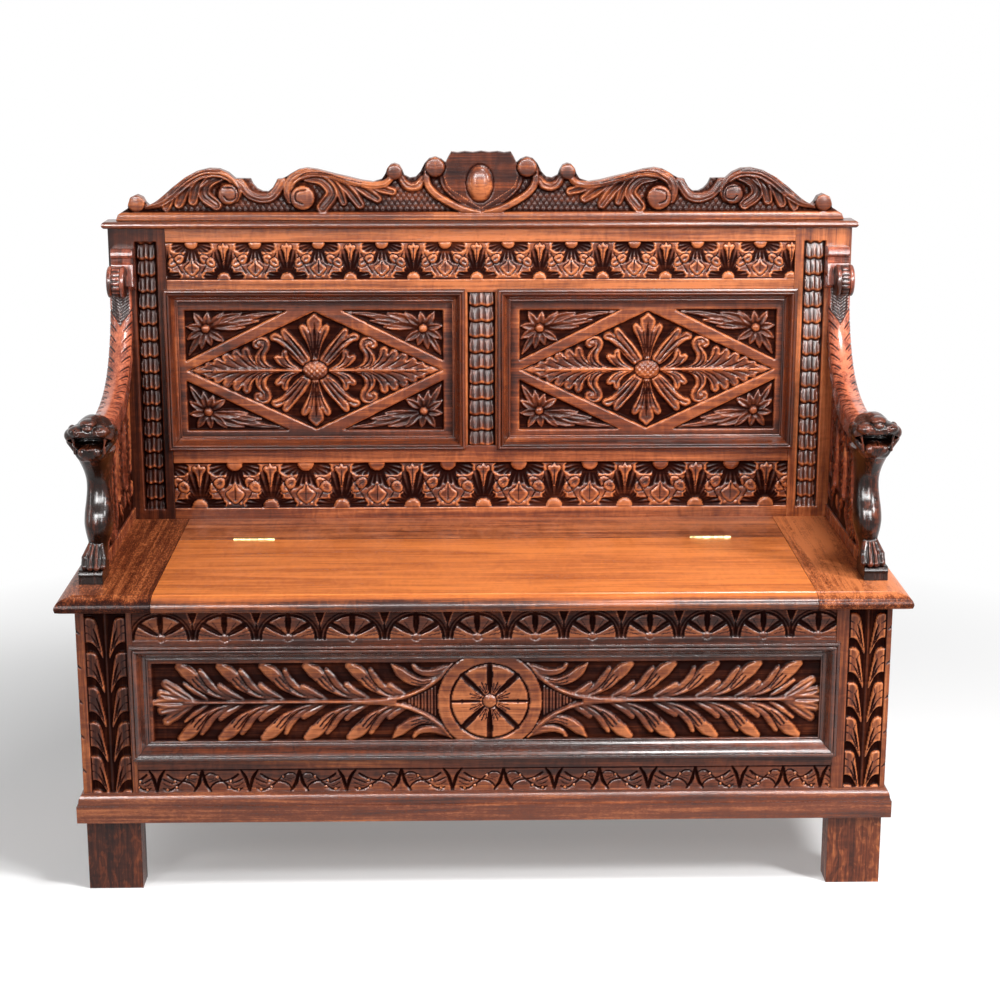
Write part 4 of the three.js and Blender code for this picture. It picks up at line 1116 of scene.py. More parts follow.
@dataclass
class FrontPanel:
    """The long front panel: a rosette between two branches of leaves."""

    x: float = 7
    z: float = 311.5
    sight_top: float = 380.5
    sight_foot: float = 244.5
    ring: float = 83
    rose: float = 62
    ground: float = 5.5
    tips: tuple[float, ...] = (225, 293, 361.5, 429, 493)
    finish: OakFinish = OakFinish("carved_front_panel", Grain.ALONG_X)

    def build(self) -> Piece:
        """Carves the panel."""
        board = CarvedBoard("front_panel", self.finish, 1.5, -self.ground, wear=0.5)
        face = board.face
        inside = (np.abs(face.uu - self.x) < 533) & (np.abs(face.vv - self.z) < 65.5)
        face.sink(inside, self.ground, 0.2)
        face.tone[~inside] = 0.3
        for side in (-1, 1):
            self.branch(face, side)
        self.rosette(face)
        return board.build()

    def branch(self, face: Relief, side: int) -> None:
        """Raises one branch with its leaves, its end leaf and the hatched web at its root."""
        for sv in (-1, 1):
            here = face.at(self.x, self.z, side, sv)
            for k, tip in enumerate(self.tips):
                self.spray(face.at(self.x + side * tip, self.z, side, sv), k)
            here.stroke((76, 42, 97, 33, 114, 32.5, 129, 39, 143, 50, 155.5, 62.5), (3, 5, 7, 9, 8.6, 0.8), FLAT,
                (-2.4, -0.8, 0.2, 0.2, -0.6), (0.36, 0.68))
            here.stroke((66, 57, 85, 48.5, 104, 48, 116, 53, 121, 60), (4, 6.5, 6.5, 5, 3), LEAF,
                (-1.6, -0.4, 0, -0.6), (0.42, 0.64))
            for shift in (-5, 5):
                here.vee((86, 36 + shift * 0.4, 106, 31 + shift * 0.5, 124, 36 + shift * 0.6), 0.9, 3.4, 0.1)
            here.stroke((215, 1.5, 156, 4.2, 130, 10.2, 101, 23.5, 78.3, 41, 60, 60), (2.2, 2.8, 3.4, 3.6, 3.8, 3.8),
                ROUND, (0.8, 0.6, 0.4), (0.44, 0.56))
            for end, bend, half in (((512, 31), (492, 17), 9), ((520, 14), (498, 8), 9)):
                here.stroke([(468, 2), bend, end], (3, half * 0.7, half, half * 0.8), LEAF, (-2.2, -0.6, 0, -1),
                    (0.36, 0.66), flutes=1)
            face.at(self.x + side * 493, self.z, side, sv).stroke((-46, 5, -24, 20, -10, 31), (2, 4, 2.4), LEAF,
                (-3, -1, -1), (0.4, 0.75))
        here = face.at(self.x, self.z, side, 1)
        here.stroke((462, 0, 496, 0, 530, 0), (4, 11, 12.5, 5), LEAF, (-1.5, 0.3, -0.6), (0.44, 0.74), flutes=1)
        here.stroke((150, 0, 300, 0.4, 400, 0.2, 484, 0), (3.4, 3.4, 3, 1.6), ROUND, (1.2, 1, 0.6), (0.42, 0.5))
        mask = here.inside((137, 0, 84, 27, 84, -26))
        # the web's ground is darkened as painted shade
        face.level(mask, -5, 0.05)
        for k in range(9):
            x = 86.5 + 5.2 * k
            reach = max(0, (137 - x) * 27 / 53 - 2.5)
            if reach > 1:
                here.stroke((x, -reach, x, reach), 1.5, ROUND, -1.6, 0.45)

    def spray(self, here: Relief, k: int) -> None:
        """Raises a broad leaf, a narrow one and a short one; the origin is under the broad leaf's tip."""
        sway = 1.6 * sin(k * 2.3)
        here.stroke((-88, 2.5, -74, 6.5, -58, 11.5, -41, 22.5, -31, 32.5, -22, 44, -12, 53, -3, 60),
            (1.2, 1.8, 2.6, 4.2, 7.6, 10.4, 11, 6.5), FLAT, (-2.6, -1.2, 0, 0.3, -0.5), (0.3, 0.72))
        for du, dv in ((-3.5, 3), (1.5, -1), (6, -6)):
            here.vee((-46 + du * 0.5, 18 + dv * 0.5, -34 + du, 30 + dv, -25 + du, 41 + dv), 1.1, 4, 0.08)
        here.stroke((-96, 2, -80, 8.5, -64, 17.5, -52, 28.5, -43, 41 + sway, -36 + sway, 52),
            (1.2, 2.2, 3.4, 4.8, 5.2, 3.6), LEAF, (-3, -1.2, -0.2, -0.4), (0.26, 0.62))
        here.stroke((-104, 3, -90, 11, -77, 18.5, -66, 27 + sway), (1.6, 3.4, 4.8, 4.4), LEAF, (-3, -1.2, -0.2, -0.6),
            (0.26, 0.62))

    def rosette(self, face: Relief) -> None:
        """Raises the ring and cuts the eight-petalled rose inside it."""
        du, dv = face.uu - self.x, face.vv - self.z
        far = np.hypot(du, dv)
        band = (face.vv > self.sight_foot - 4) & (face.vv < self.sight_top + 4)
        # the cut rings and hollows of the rosette are darkened as painted shade
        halo = (far < self.ring + 1.8) & band
        face.level(halo, -4.5, 0.04)
        ring = (far < self.ring) & band
        face.level(ring, -0.2, 0.62)
        edge = (np.abs(far - self.rose) < 1.7) & band
        face.level(edge, -4.2, 0.02)
        inner = far < self.rose - 1.4
        face.tone[inner] = 0.72
        face.height[inner] = -0.3 - 1.6 * (1 - far[inner] / self.rose)
        for k in range(8):
            here = face.at(self.x, self.z, 1, 1, 45 * k)
            wide = 3.6 if k in (0, 4) else 6.2
            here.stroke((9, 0, 24, 0, 42, 0, 61, 0), (1.6, wide * 0.8, wide, wide * 0.85), HOLLOW, (-4, -6, -5, -3.4),
                (0.02, 0.14))
            gap = face.at(self.x, self.z, 1, 1, 45 * k + 22.5)
            gap.vee((14, 0, 34, 0), 1.2, 4.2, 0.04)
            for sv in (-1, 1):
                gap.vee((15, sv * 1.6, 23, sv * 3.6, 30, sv * 5.5), 1.1, 3.8, 0.06)
        face.dome((self.x, self.z), 12.4, -5.4, -5.4, 0.5, 0.02)
        face.dome((self.x, self.z), 10.8, 2, -2.5, 0.45, 0.62)
        face.lattice(far < 10, 6, 45, 2.4)


@dataclass
class Lunettes:
    """A row of arches on the top rail, each with broad dark gouges between rubbed wedges."""

    centres: tuple[float, ...] = (-508, -408, -309, -209, -107, -11, 78, 168, 259, 349, 438, 524)
    foot: float = 420.5
    rise: float = 38.5

    def carve(self, face: Relief) -> None:
        """Cuts the arches into the rail."""
        band = (face.vv > self.foot - 2) & (face.vv < 470)
        face.level(band, -1.2, 0.2)
        ends = np.convolve((-606, *self.centres, 622), (0.5, 0.5), "valid")
        for k, x in enumerate(self.centres):
            half = min((ends[k + 1] - ends[k]) / 2, 50)
            x = (ends[k + 1] + ends[k]) / 2 if 0 < k < len(self.centres) - 1 else x
            self.arch(face, x, half)
        for x in ends[1:-1]:
            notch = (x - 8.5, 467, x + 8.5, 467, x, self.foot + 21)
            face.sink(face.inside(notch), 4.6, 0.03)
            for side in (-1, 1):
                face.stroke((x + side * 10.5, 468, x + side * 3, self.foot + 27, x, self.foot + 18), 1.1, ROUND, 0.4,
                    0.6)
            face.stroke((x, self.foot + 2, x, self.foot + 12, x, self.foot + 24), (3.2, 2.6, 1), HOLLOW, -4.8, 0.03)

    def arch(self, face: Relief, x: float, half: float) -> None:
        """Cuts one arch and its fan."""
        turns = np.linspace(0, pi, 15)
        rings = [[(x + (half - by) * cos(a),
            self.foot + (self.rise + 6.5 - by) * sin(a)) for a in turns] for by in (1.2, 6.5)]
        fan = inside_polygon(np.array(rings[1]), face.uu, face.vv)
        du, dv = face.uu - x, face.vv - self.foot
        slope = np.degrees(np.arctan2(dv, np.abs(du)))
        face.level(fan, -0.9, np.interp(slope, (0, 32, 45, 90), (0.62, 0.56, 0.46, 0.4)))
        for ring, wide, deep in ((rings[0], 1.8, -4), (rings[1], 2.6, -5.2)):
            face.stroke(ring, wide, VEE, deep, 0.02)
        reach = half - 8
        for angle, wide in ((90, 6.2), (38, 5.8), (142, 5.8)):
            c, s = cos(radians(angle)), sin(radians(angle))
            end = (x + reach * c, self.foot + (self.rise - 1) * s)
            root = (x + 6 * c, self.foot + 2 + 6 * s)
            middle = (0.5 * (root[0] + end[0]), 0.5 * (root[1] + end[1]))
            face.stroke([root, middle, end], (2.2, wide * 0.8, wide, wide * 0.95), HOLLOW, (-4.4, -6, -4.6),
                (0.02, 0.08))
        for angle, start, stop in ((14, 0.42, 0.86), (24, 0.62, 0.84), (62, 0.42, 0.8), (118, 0.42, 0.8),
                (156, 0.62, 0.84), (166, 0.42, 0.86)):
            c, s = cos(radians(angle)), sin(radians(angle))
            face.vee([(x + half * r * c, self.foot + self.rise * r * s) for r in (start, stop)], 1.1, 2.6, 0.2)
        face.dome((x, self.foot + 1), (7, 6), -0.2, -3.6, 0.4, 0.5)


@dataclass
class Scrolls:
    """A row of S scrolls on the bottom rail, turned by turns, between slanting lens cuts."""

    z: float = 183
    joints: tuple[float, ...] = (-590, -523.7, -451.3, -376.6, -296.5, -222, -134.1, -52.8, 28.7, 110.2, 182, 260.4,
        335.6, 407.3, 476.4, 536.6, 600)
    drawn: float = 76

    def carve(self, face: Relief) -> None:
        """Cuts the scrolls into the rail."""
        band = (face.vv > self.z - 17.5) & (face.vv < self.z + 18.5)
        face.level(band, -1, 0.44)
        face.vee((face.u0, self.z + 19.5, face.u1, self.z + 19.5), 1.2, 2.4)
        for k, (left, right) in enumerate(zip(self.joints, self.joints[1:])):
            way = -1 if k % 2 else 1
            self.scroll(face.at((left + right) / 2, self.z, way * (right - left) / self.drawn, 1))

    def scroll(self, here: Relief) -> None:
        """Cuts one scroll, which leans from its upper left to its lower right."""
        for path in ((-37, 18, -35.5, 7, -31.5, -6, -24, -17.5), (24, 19, 31.5, 7, 35.5, -6, 37, -17.5)):
            here.stroke(path, (1.2, 3, 3.6, 3, 1.2), HOLLOW, -5.8, (0.02, 0.04))
        here.stroke((-35.5, 7, -29.5, 12, -22, 13.2, -14.5, 8.7, -3.2, -2, 5.7, -9.3, 13.2, -14, 20.8, -15.4, 27,
            -12), (0.9, 1.6, 1.5, 1.7, 1.9, 1.7, 1.7, 1.2), VEE, -4.6, 0.03)
        here.stroke((-26, -13.5, -22, -7.3, -15.8, -2.7, -8.2, -0.6, -1.3, 0, 5.7, 2.2, 12.6, 5.3, 20.2, 11.3),
            (1, 1.8, 2, 1.6, 1.6, 2, 2.8, 2), VEE, -4.8, 0.03)
        here.stroke((10.7, -4, 18.3, -1.3, 28, 4), (1, 1.8, 1.6), VEE, -3.8, 0.03)
        here.stroke((14, -9, 21, -7.5, 27.5, -3), (0.8, 1.3, 1), VEE, -2.8, 0.12)
        here.stroke((-30, 5, -24, 3.5, -19, 5), (0.8, 1.3, 0.9), VEE, -2.6, 0.15)
        here.stroke((-27, -3, -21, 0.5, -13, 2.5), (0.8, 1.3, 0.9), VEE, -2.8, 0.15)
        # each pearl sits in a ring darkened as painted shade, and is lightened as a painted highlight
        for at in ((-13.2, 6.7), (5, -10.6), (7.6, -0.6), (20.4, -14.6)):
            here.dome(at, 3.2, -4.6, -4.6, 0.5, 0.03)
            here.dome(at, 2.2, 0.8, -3, 0.5, 0.95)


@dataclass
class LeafStile:
    """Tiers of paired leaves that climb a front post."""

    side: Side
    tiers: tuple[float, ...] = (456, 398.9, 341.1, 282.8, 226)
    finish: OakFinish = OakFinish("carved_stile", Grain.ALONG_Z)
    blade: tuple[float, ...] = (29.8, -4, 28.5, -0.6, 23.5, 0.8, 18, -0.6, 13.6, -5, 11.2, -14, 8.8, -30, 6, -48, 4.2,
        -62, 5, -68, 8.5, -60, 13, -50.5, 18.5, -43.5, 24.5, -40.5, 29.4, -40, 29.8, -30, 29.8, -16)

    def build(self) -> Piece:
        """Carves the post."""
        board = CarvedBoard(f"front_post_{self.side.name.lower()}", self.finish, 1.15, -6, wear=0.5)
        face = board.face
        # the left stile's leaves get lower tones as painted shade, the right's higher as painted light
        x, left, right, tone = (-594.5, 31.5, 31.5, (0.52, 0.3)) if self.side is Side.LEFT else (603.5, 29.5, 27.5,
            (0.82, 0.6))
        inside = (face.uu > x - left) & (face.uu < x + right) & (face.vv > 166)
        face.sink(inside, 6, 0.05)
        face.stroke((x, 168, x, 466), (2.8, 2.2), ROUND, -3.2, 0.16)
        for z in (*self.tiers, 168.5):
            for su, reach in ((-1, left), (1, right)):
                self.leaf(face.at(x, z, su * reach / 29.5, 1), tone)
        face.level(face.vv < 166, 0, 0.3)
        for u in (x - left, x + right):
            face.vee((u, 166, u, 470), 1.4, 4, 0.04)
        for z in self.tiers:
            edge = self.side.value * 636.5
            face.stroke((edge - self.side.value * 2, z - 26, edge + self.side.value * 5, z - 20), (1, 2.6), HOLLOW,
                -2.4, 0.15)
        return board.build()

    def leaf(self, here: Relief, tone: Point) -> None:
        """Raises one leaf with its arched head, and cuts the flutes that climb into it from the stem."""
        here.raised(self.blade, -0.1, 2.4, tone, dish=0.9)
        here.stroke((7.5, -56, 11, -42, 14, -28, 17.5, -17), (0.8, 2, 2.2, 0.7), VEE, -4.8, (0.03, 0.1))
        here.stroke((11.5, -50, 16, -38, 21, -29), (0.7, 1.8, 0.7), VEE, -4.2, (0.04, 0.12))
        here.stroke((14, -9, 15, -16), (0.7, 1), VEE, -2.4, 0.2)
        for z in (-12, -24):
            here.stroke((29.5, z, 25, z - 1.5, 21.5, z - 5), (1.3, 1.3, 0.6), VEE, -2.2, (0.1, 0.2))


class ChestFront:
    """The front of the chest: its rails, posts and panel with their carving."""

    finish_rail = OakFinish("carved_front_rail", Grain.ALONG_X)

    def build(self) -> Iterable[Piece]:
        """Carves the front boards."""
        top = CarvedBoard("front_top_rail", self.finish_rail, 1.25, wear=0.36)
        Lunettes().carve(top.face)
        yield top.build()
        foot = CarvedBoard("front_bottom_rail", self.finish_rail, 1.25, wear=0.42)
        Scrolls().carve(foot.face)
        yield foot.build()
        yield FrontPanel().build()
        for side in Side:
            yield LeafStile(side).build()


@dataclass
class Crest:
    """The crest board: scrolled leaves, straps and a shield over a latticed ground."""

    foot: float = 1021
    relief_depth: float = 9
    finish: OakFinish = OakFinish("carved_crest", Grain.ALONG_X)
    half: tuple[float, ...] = (626, 1021.5, 622, 1032, 606, 1042, 604, 1050, 600, 1061, 590, 1065.5, 580, 1061, 575,
        1052, 570, 1047, 560, 1052, 549, 1060, 528, 1078, 507, 1094, 486, 1105, 465, 1110, 447, 1109, 432, 1102.5,
        421, 1092.5, 395, 1092, 391, 1083, 384, 1075, 375, 1070.5, 365, 1070, 357, 1077, 351, 1087, 349, 1091.5, 341,
        1092, 334, 1095, 325, 1101, 312, 1108, 298, 1110.5, 280, 1108, 251, 1100.5, 225, 1094.5, 205, 1089.5, 185,
        1086.5, 170, 1091, 164, 1100, 161, 1109, 155, 1116, 148, 1118, 140, 1115, 135, 1107, 132, 1098, 122, 1093,
        112, 1094.5, 104, 1103, 97, 1117, 89, 1126, 78, 1129, 68, 1125, 61, 1119, 56, 1129, 51, 1137.5, 40, 1136, 28,
        1138, 14, 1136.5, 0, 1138.5)

    def outline(self) -> Array:
        """Gives the board's whole outline."""
        right = np.reshape(self.half, (-1, 2)).astype(float)
        left = right[::-1] * (-1, 1)
        return np.vstack([right, left[1:]])

    def build(self) -> Iterable[Piece]:
        """Carves the crest."""
        box = Extent.of("crest")
        outline = self.outline()
        outline[:, 1] = np.minimum(outline[:, 1], box.z1 + 0.8)
        face = Relief(box.x0 - 1.2, box.x1 + 1.2, box.z0, box.z1 + 1.2, 1.25, -self.relief_depth, 0.5)
        face.height[:] = -self.relief_depth
        face.tone[:] = 0.3
        face.lattice(np.ones(face.height.shape, bool), 8.4, 55, 2.4)
        for su in (-1, 1):
            self.half_crest(face.at(0, 0, su, 1))
        self.shield(face)
        strip = face.vv < 1034
        face.level(strip, 0, 0.5)
        bevel = (face.vv >= 1031.5) & (face.vv < 1035)
        face.level(bevel, -1.8, 0.56)
        face.soften(1)
        board = relief_solid("crest_carved", face, facing_front(box.y0), box.y0 - box.y1, face.cells(outline),
            [outline])
        yield set_in(board, self.finish, Slot.CARVED, "crest")

    def half_crest(self, here: Relief) -> None:
        """Raises the scrolls, fingers and straps of one half."""
        fingers = (((506, 1088, 528, 1068, 540, 1044), 9.5), ((484, 1098, 506, 1076, 518, 1050), 10.5),
            ((462, 1098, 486, 1079, 494, 1055), 10.5), ((430, 1098, 464, 1088, 474, 1066, 454, 1048), 12.5))
        for path, wide in fingers:
            here.stroke(path, (4, wide * 0.8, wide, wide * 0.85), CUPPED, (-3.5, -1, -0.8, -2), (0.22, 0.46),
                flutes=2)
        here.stroke((575, 1045, 550, 1052, 528, 1066, 500, 1089, 475, 1102, 446, 1103, 424, 1091, 416, 1072, 421,
            1058), (5, 8.5, 9, 9.5, 10, 9.5, 8, 6), STRAP, (-2.5, -0.6, 0, 0, -0.5), (0.34, 0.5))
        here.dome((434, 1067), 19.5, -4.5, -6, 0.5, 0.05)
        here.dome((433, 1066), 17, 0.3, -2.8, 0.3, 0.42)
        here.stroke((441, 1079, 423, 1076, 421, 1060, 433, 1056, 440, 1063), (1.3, 1), VEE, -3.4, 0.06)
        here.stroke((412, 1086, 399, 1068, 385, 1061, 372, 1059, 358, 1063, 346, 1078, 341, 1088),
            (8, 8.5, 9, 8.5, 8), STRAP, -2.2, (0.4, 0.44))
        for path, wide in (((262, 1092, 246, 1078, 236, 1052), 8.5), ((246, 1089, 226, 1072, 208, 1048), 11),
                ((222, 1085, 199, 1072, 178, 1058), 10.5), ((198, 1082, 174, 1076, 152, 1070), 9)):
            here.stroke(path, (4, wide * 0.85, wide, wide * 0.8), CUPPED, (-3, -1, -0.8, -2), (0.26, 0.5), flutes=1)
        here.stroke((300, 1092, 272, 1089, 256, 1068, 272, 1044), (5, 10, 12, 12), CUPPED, (-2.5, -0.8, -0.8, -1.6),
            (0.26, 0.5), flutes=2)
        here.stroke((327, 1056, 331, 1072, 322, 1092, 297, 1103, 270, 1103, 246, 1096, 220, 1088, 190, 1082, 165,
            1084, 152, 1096), (7, 9, 9.5, 9.5, 9, 8, 7, 6.5, 5.5), STRAP, (-1, 0, 0.2, 0, -0.4), (0.42, 0.6))
        for shift in (-3.2, 2.6):
            here.vee((322, 1084 + shift, 300, 1099 + shift, 272, 1100 + shift, 240, 1091 + shift, 205, 1083 + shift),
                1, 2.8, 0.12)
            here.vee((520, 1074 + shift, 498, 1091 + shift, 474, 1102 + shift, 446, 1103 + shift), 1, 2.8, 0.12)
        here.dome((305, 1061), 23, -4.5, -6, 0.5, 0.05)
        here.dome((306, 1060), 20.5, 0.5, -2.8, 0.3, 0.52)
        here.stroke((300, 1074, 316, 1070, 318, 1056, 306, 1050), (1.2, 1), VEE, -3.2, 0.1)
        here.dome((148.2, 1104.5), 13.8, 0.4, -3.5, 0.3, 0.4)
        here.stroke((137, 1094, 130, 1083, 120, 1078, 108, 1081, 100, 1092), (6, 7.5, 8, 8, 6), LEAF, -2.4,
            (0.4, 0.62))
        here.dome((590.5, 1051.5), 16.5, -4, -6, 0.5, 0.05)
        here.dome((590.5, 1051.5), 14.6, 0.3, -3, 0.3, 0.45)

    def shield(self, face: Relief) -> None:
        """Raises the strapwork shield and its plain oval boss."""
        field_line = (-56, 1140, -62, 1118, -66, 1100, -60, 1076, -40, 1056, 0, 1036, 40, 1056, 60, 1076, 66, 1100,
            62, 1118, 56, 1140)
        mask = face.inside(field_line)
        face.level(mask, -4.2, 0.24)
        for su in (-1, 1):
            here = face.at(0, 0, su, 1)
            here.stroke((68, 1102, 62, 1080, 42, 1061, 18, 1046, 0, 1038), (4, 6, 6.5, 6, 5), DISH,
                (-3.4, -2.6, -2.2), (0.2, 0.3))
            for shift in (0, 7):
                here.vee((70 - shift, 1098, 63 - shift, 1077 + shift * 0.3, 41 - shift * 0.8, 1057 + shift, 0,
                    1034.5 + shift), 1.1, 5.6, 0.9)
            here.stroke((92, 1108, 93, 1088, 84, 1071, 62, 1055, 34, 1041, 0, 1029), (6, 6.5, 6.5, 6.5, 7.5), FLAT,
                (-0.4, 0.2, 0.2), (0.42, 0.56))
            here.dome((78.5, 1111), 18.2, -4.2, -6, 0.5, 0.06)
            here.dome((79, 1112), 16.6, 0.4, -2.8, 0.3, 0.44)
        face.dome((-2, 1084), (25, 34), -5.2, -5.2, 0.5, 0.12)
        face.dome((-2, 1084), (22.5, 31.5), -2.6, -3.8, 0.3, 0.3)
        face.dome((-2, 1084), (20.5, 29), 4.5, -4.5, 0.5, 0.55)


def resampled(path: Array, count: int) -> Array:
    """Spaces points evenly along a path."""
    steps = np.hypot(*np.diff(path, axis=0).T)
    along = np.concatenate([[0], np.cumsum(steps)])
    places = np.linspace(0, along[-1], count)
    return np.stack([np.interp(places, along, path[:, k]) for k in range(2)], axis=-1)


def headings(path: Array) -> Array:
    """Gives the direction of a path at each of its points."""
    way = np.gradient(path, axis=0)
    return way / np.hypot(way[:, 0], way[:, 1])[:, None]


def inset(polygon: Array, by: float) -> Array:
    """Draws a counter-clockwise outline in by a small distance."""
    before, after = np.roll(polygon, 1, axis=0), np.roll(polygon, -1, axis=0)
    way = after - before
    way = way / np.maximum(np.hypot(way[:, 0], way[:, 1]), 1e-9)[:, None]
    return polygon + np.stack([-way[:, 1], way[:, 0]], axis=-1) * by


def extruded(name: str, profile: Sequence[Point], x0: float, x1: float, bevel: float = 1.2,
        wear: float = 0.5) -> Piece:
    """Runs a profile in Y and Z along X, with rounded ends.

    Args:
        name: the piece's name.
        profile: its corners, counter-clockwise as seen from the right end.
        x0: where it starts.
        x1: where it ends.
        bevel: radius of the rounding.
        wear: how light it is.

    Returns:
        The linked object.
    """
    outline = np.asarray(profile, float)
    rings = []
    for x, by in ((x0, bevel), (x0 + 0.3 * bevel, 0.3 * bevel), (x0 + bevel, 0), (x1 - bevel, 0),
            (x1 - 0.3 * bevel, 0.3 * bevel), (x1, bevel)):
        ring = inset(outline, by)
        rings.append(np.column_stack([np.full(len(ring), x), ring]))
    return loft(name, rings, np.full(len(rings) * len(outline), wear), False)


@dataclass
class LionArm:
    """One arm: a scroll against the post, a chased rest, and a lion's head on its own leg and paw."""

    side: Side
    x: float = 622
    head_x: float = 612
    back: float = 228.5
    seat: float = 495
    reach: float = 415
    rise: float = 483
    half: float = 19
    crown: float = 13
    depth: float = 42
    roll_x: float = 618.5
    cap_x: float = 613
    block_top: float = 518
    block_length: float = 66
    rest_shares: tuple[Point, ...] = ((0.03, 0.85), (0.036, 0.776), (0.06, 0.72), (0.1, 0.663), (0.152, 0.611),
        (0.217, 0.567), (0.306, 0.531), (0.41, 0.507), (0.518, 0.494), (0.627, 0.489), (0.74, 0.489), (0.85, 0.494))
    finish: OakFinish = OakFinish("carved_arm", Grain.ALONG_Z, body=(0.25, 0.055, 0.028), rubbed_and_lit=(0.62, 0.17, 0.08),
        shine=0.2, gloss=(-0.1, 0.3), lustre=2)
    beast: OakFinish = OakFinish("carved_lion", Grain.ALONG_Z, dark=(0.006, 0.002, 0.001), body=(0.018, 0.005, 0.003),
        rubbed_and_lit=(0.16, 0.035, 0.014), shine=0.13, gloss=(-0.1, 0.25), lustre=1)

    def place(self, share: Point) -> Point:
        """Turns shares of the reach and the rise into a place in Y and Z."""
        return self.back - share[0] * self.reach, self.seat + share[1] * self.rise

    def name(self, piece: str) -> str:
        """Names a piece of this arm."""
        return f"{piece}_{self.side.name.lower()}"

    def centre(self) -> float:
        """Gives the X of the arm's middle."""
        return self.side.value * self.x

    def build(self) -> Iterable[Piece]:
        """Builds the arm, its leg and its pierced panel."""
        for part, finish, node in ((self.rest, self.finish, "arm"), (self.scroll, self.finish, "arm"),
                (self.cap, self.finish, "arm"), (self.head, self.beast, "arm"), (self.leg, self.beast, "arm_leg"),
                (self.block, self.beast, "arm_leg")):
            yield set_in(part(), finish, Slot.DARK, self.name(node))
        yield PiercedPanel(self).build()

    def rest_path(self, count: int) -> Array:
        """Gives the crown of the rest, evenly spaced from the roll to the head."""
        return resampled(smooth_path([self.place(share) for share in self.rest_shares], 12), count)

    def rest(self) -> Piece:
        """Sweeps the rest and chases its crown with short leaves."""
        count = 400
        path = self.rest_path(count)
        length = np.concatenate([[0], np.cumsum(np.hypot(*np.diff(path, axis=0).T))])
        around = np.linspace(pi, 0, 49)
        flank = np.linspace(0, 1, 12)[1:]
        foot = np.linspace(1, -1, 9)[1:-1]
        across = np.concatenate([self.half * np.cos(around), self.half * (1 - 0.06 * np.sin(pi * flank)),
            foot * self.half, -self.half * (1 - 0.06 * np.sin(pi * flank[::-1]))])
        down = np.concatenate([self.crown * (1 - np.sin(around)), self.crown + flank, np.full(len(foot), -1),
            self.crown + flank[::-1]])
        part = np.concatenate([np.zeros(len(around)), flank, np.ones(len(foot)), flank[::-1]])
        rings, wear = [], []
        for k, (point, ahead, s) in enumerate(zip(path, headings(path), length)):
            depth = self.depth * min(1, 0.55 + 0.9 * k / count)
            below = np.where(part > 0, self.crown + part * (depth - self.crown), down)
            groove = self.chasing(across, s, length[-1])
            groove = np.where(part > 0, np.where(part < 0.35, groove * (1 - part / 0.35), 0), groove)
            below = below + groove * np.where(part > 0, 0, 1)
            x = across * (1 - 0.05 * groove)
            normal = np.array([-ahead[1], ahead[0]])
            yz = point + np.outer(below, normal)
            rings.append(np.column_stack([self.side.value * x + self.centre(), yz]))
            # darker in the chased grooves, down the flanks and toward the edges as painted shade, with the crown
            # lighter as rubbed wear
            wear.append(np.clip(0.8 - 0.4 * groove - 0.3 * part - 0.12 * np.abs(across) / self.half, 0.02, 1))
        if self.side is Side.RIGHT:
            rings = [ring[::-1] for ring in rings]
            wear = [values[::-1] for values in wear]
        return loft(self.name("arm_rest"), rings, np.concatenate(wear))

    def chasing(self, across: Array, s: float, total: float) -> Array:
        """Gives the depth of the chased marks at a distance along the rest."""
        a = np.abs(across) / self.half
        pitch, depth = 20, np.zeros(len(across))
        lean = 26 * (1 - a)
        for k in range(int(total / pitch) + 1):
            gap = s - 34 - k * pitch - lean
            ends = held((a - 0.26) / 0.16) * held((1.04 - a) / 0.1)
            depth = np.maximum(depth, 2.2 * np.exp(-((gap / 1.4) ** 2)) * ends)
            fine = np.exp(-(((gap - 7) / 1) ** 2)) * held((a - 0.5) / 0.1) * held((1.02 - a) / 0.1)
            depth = np.maximum(depth, 1.2 * fine)
        under = held(1 - (s - 62 + 34 * a) / 4) * held((0.86 - a) / 0.08)
        veins = 0.5 + 0.5 * np.cos(2 * pi * (s / 5 + 2.4 * a))
        return np.maximum(depth, under * (1.2 + 0.9 * veins))

    def scroll(self) -> Piece:
        """Turns the roll, ribbed round its middle and grooved beside the ribs."""
        cy, cz = self.place((0.132, 0.89))
        profile = ((-13.6, 5), (-14.4, 8), (-13.2, 10), (-13.2, 19), (-14.8, 21.5), (-14.8, 24.5), (-13.9, 26.3),
            (-12.2, 26.9), (-8.8, 26.9), (-7.8, 26.3), (-7.2, 24.6), (-6.6, 24.6), (-6.2, 26), (-3, 26.2), (0, 26.3))
        outline = [*profile, *((-x, r) for x, r in reversed(profile[:-1]))]
        angles = np.linspace(0, 2 * pi, 180, endpoint=False)
        rings, wear = [], []
        for x, r in outline:
            ribbed = abs(x) < 6.4
            lift = -1.5 * (1 - np.abs(np.cos(9 * angles))) if ribbed else np.zeros(len(angles))
            radius = r + lift
            rings.append(np.column_stack([np.full(len(angles), self.side.value * self.roll_x + x),
                cy + radius * np.cos(angles), cz + radius * np.sin(angles)]))
            # the underside of the roll is darkened as painted shade, and its ends and grooves are darker than its
            # outer rim
            shade = 0.3 * held(-np.sin(angles))
            wear.append(held((0.46 if r > 25.5 else 0.16) + 0.3 * lift - shade))
        return loft(self.name("arm_scroll"), rings, np.concatenate(wear))

    def cap(self) -> Piece:
        """Shapes the block against the post, with its rounded cap."""
        rear, front = self.back - 0.3, self.place((0.085, 1))[0]
        top = self.seat + self.rise
        nose = [(front + 9 * (1 - cos(a)), top - 11 + 11 * sin(a)) for a in np.linspace(0, pi / 2, 8)]
        profile = [(rear, 904), (rear, top), *reversed(nose), (front + 1, 963.5), (front + 5, 961),
            (front + 5.5, 954), (front + 1, 951), (193, 941), (190, 915), (212, 906)]
        middle = self.side.value * self.cap_x
        return extruded(self.name("arm_cap"), profile, middle - self.half, middle + self.half, 1.2, 0.46)

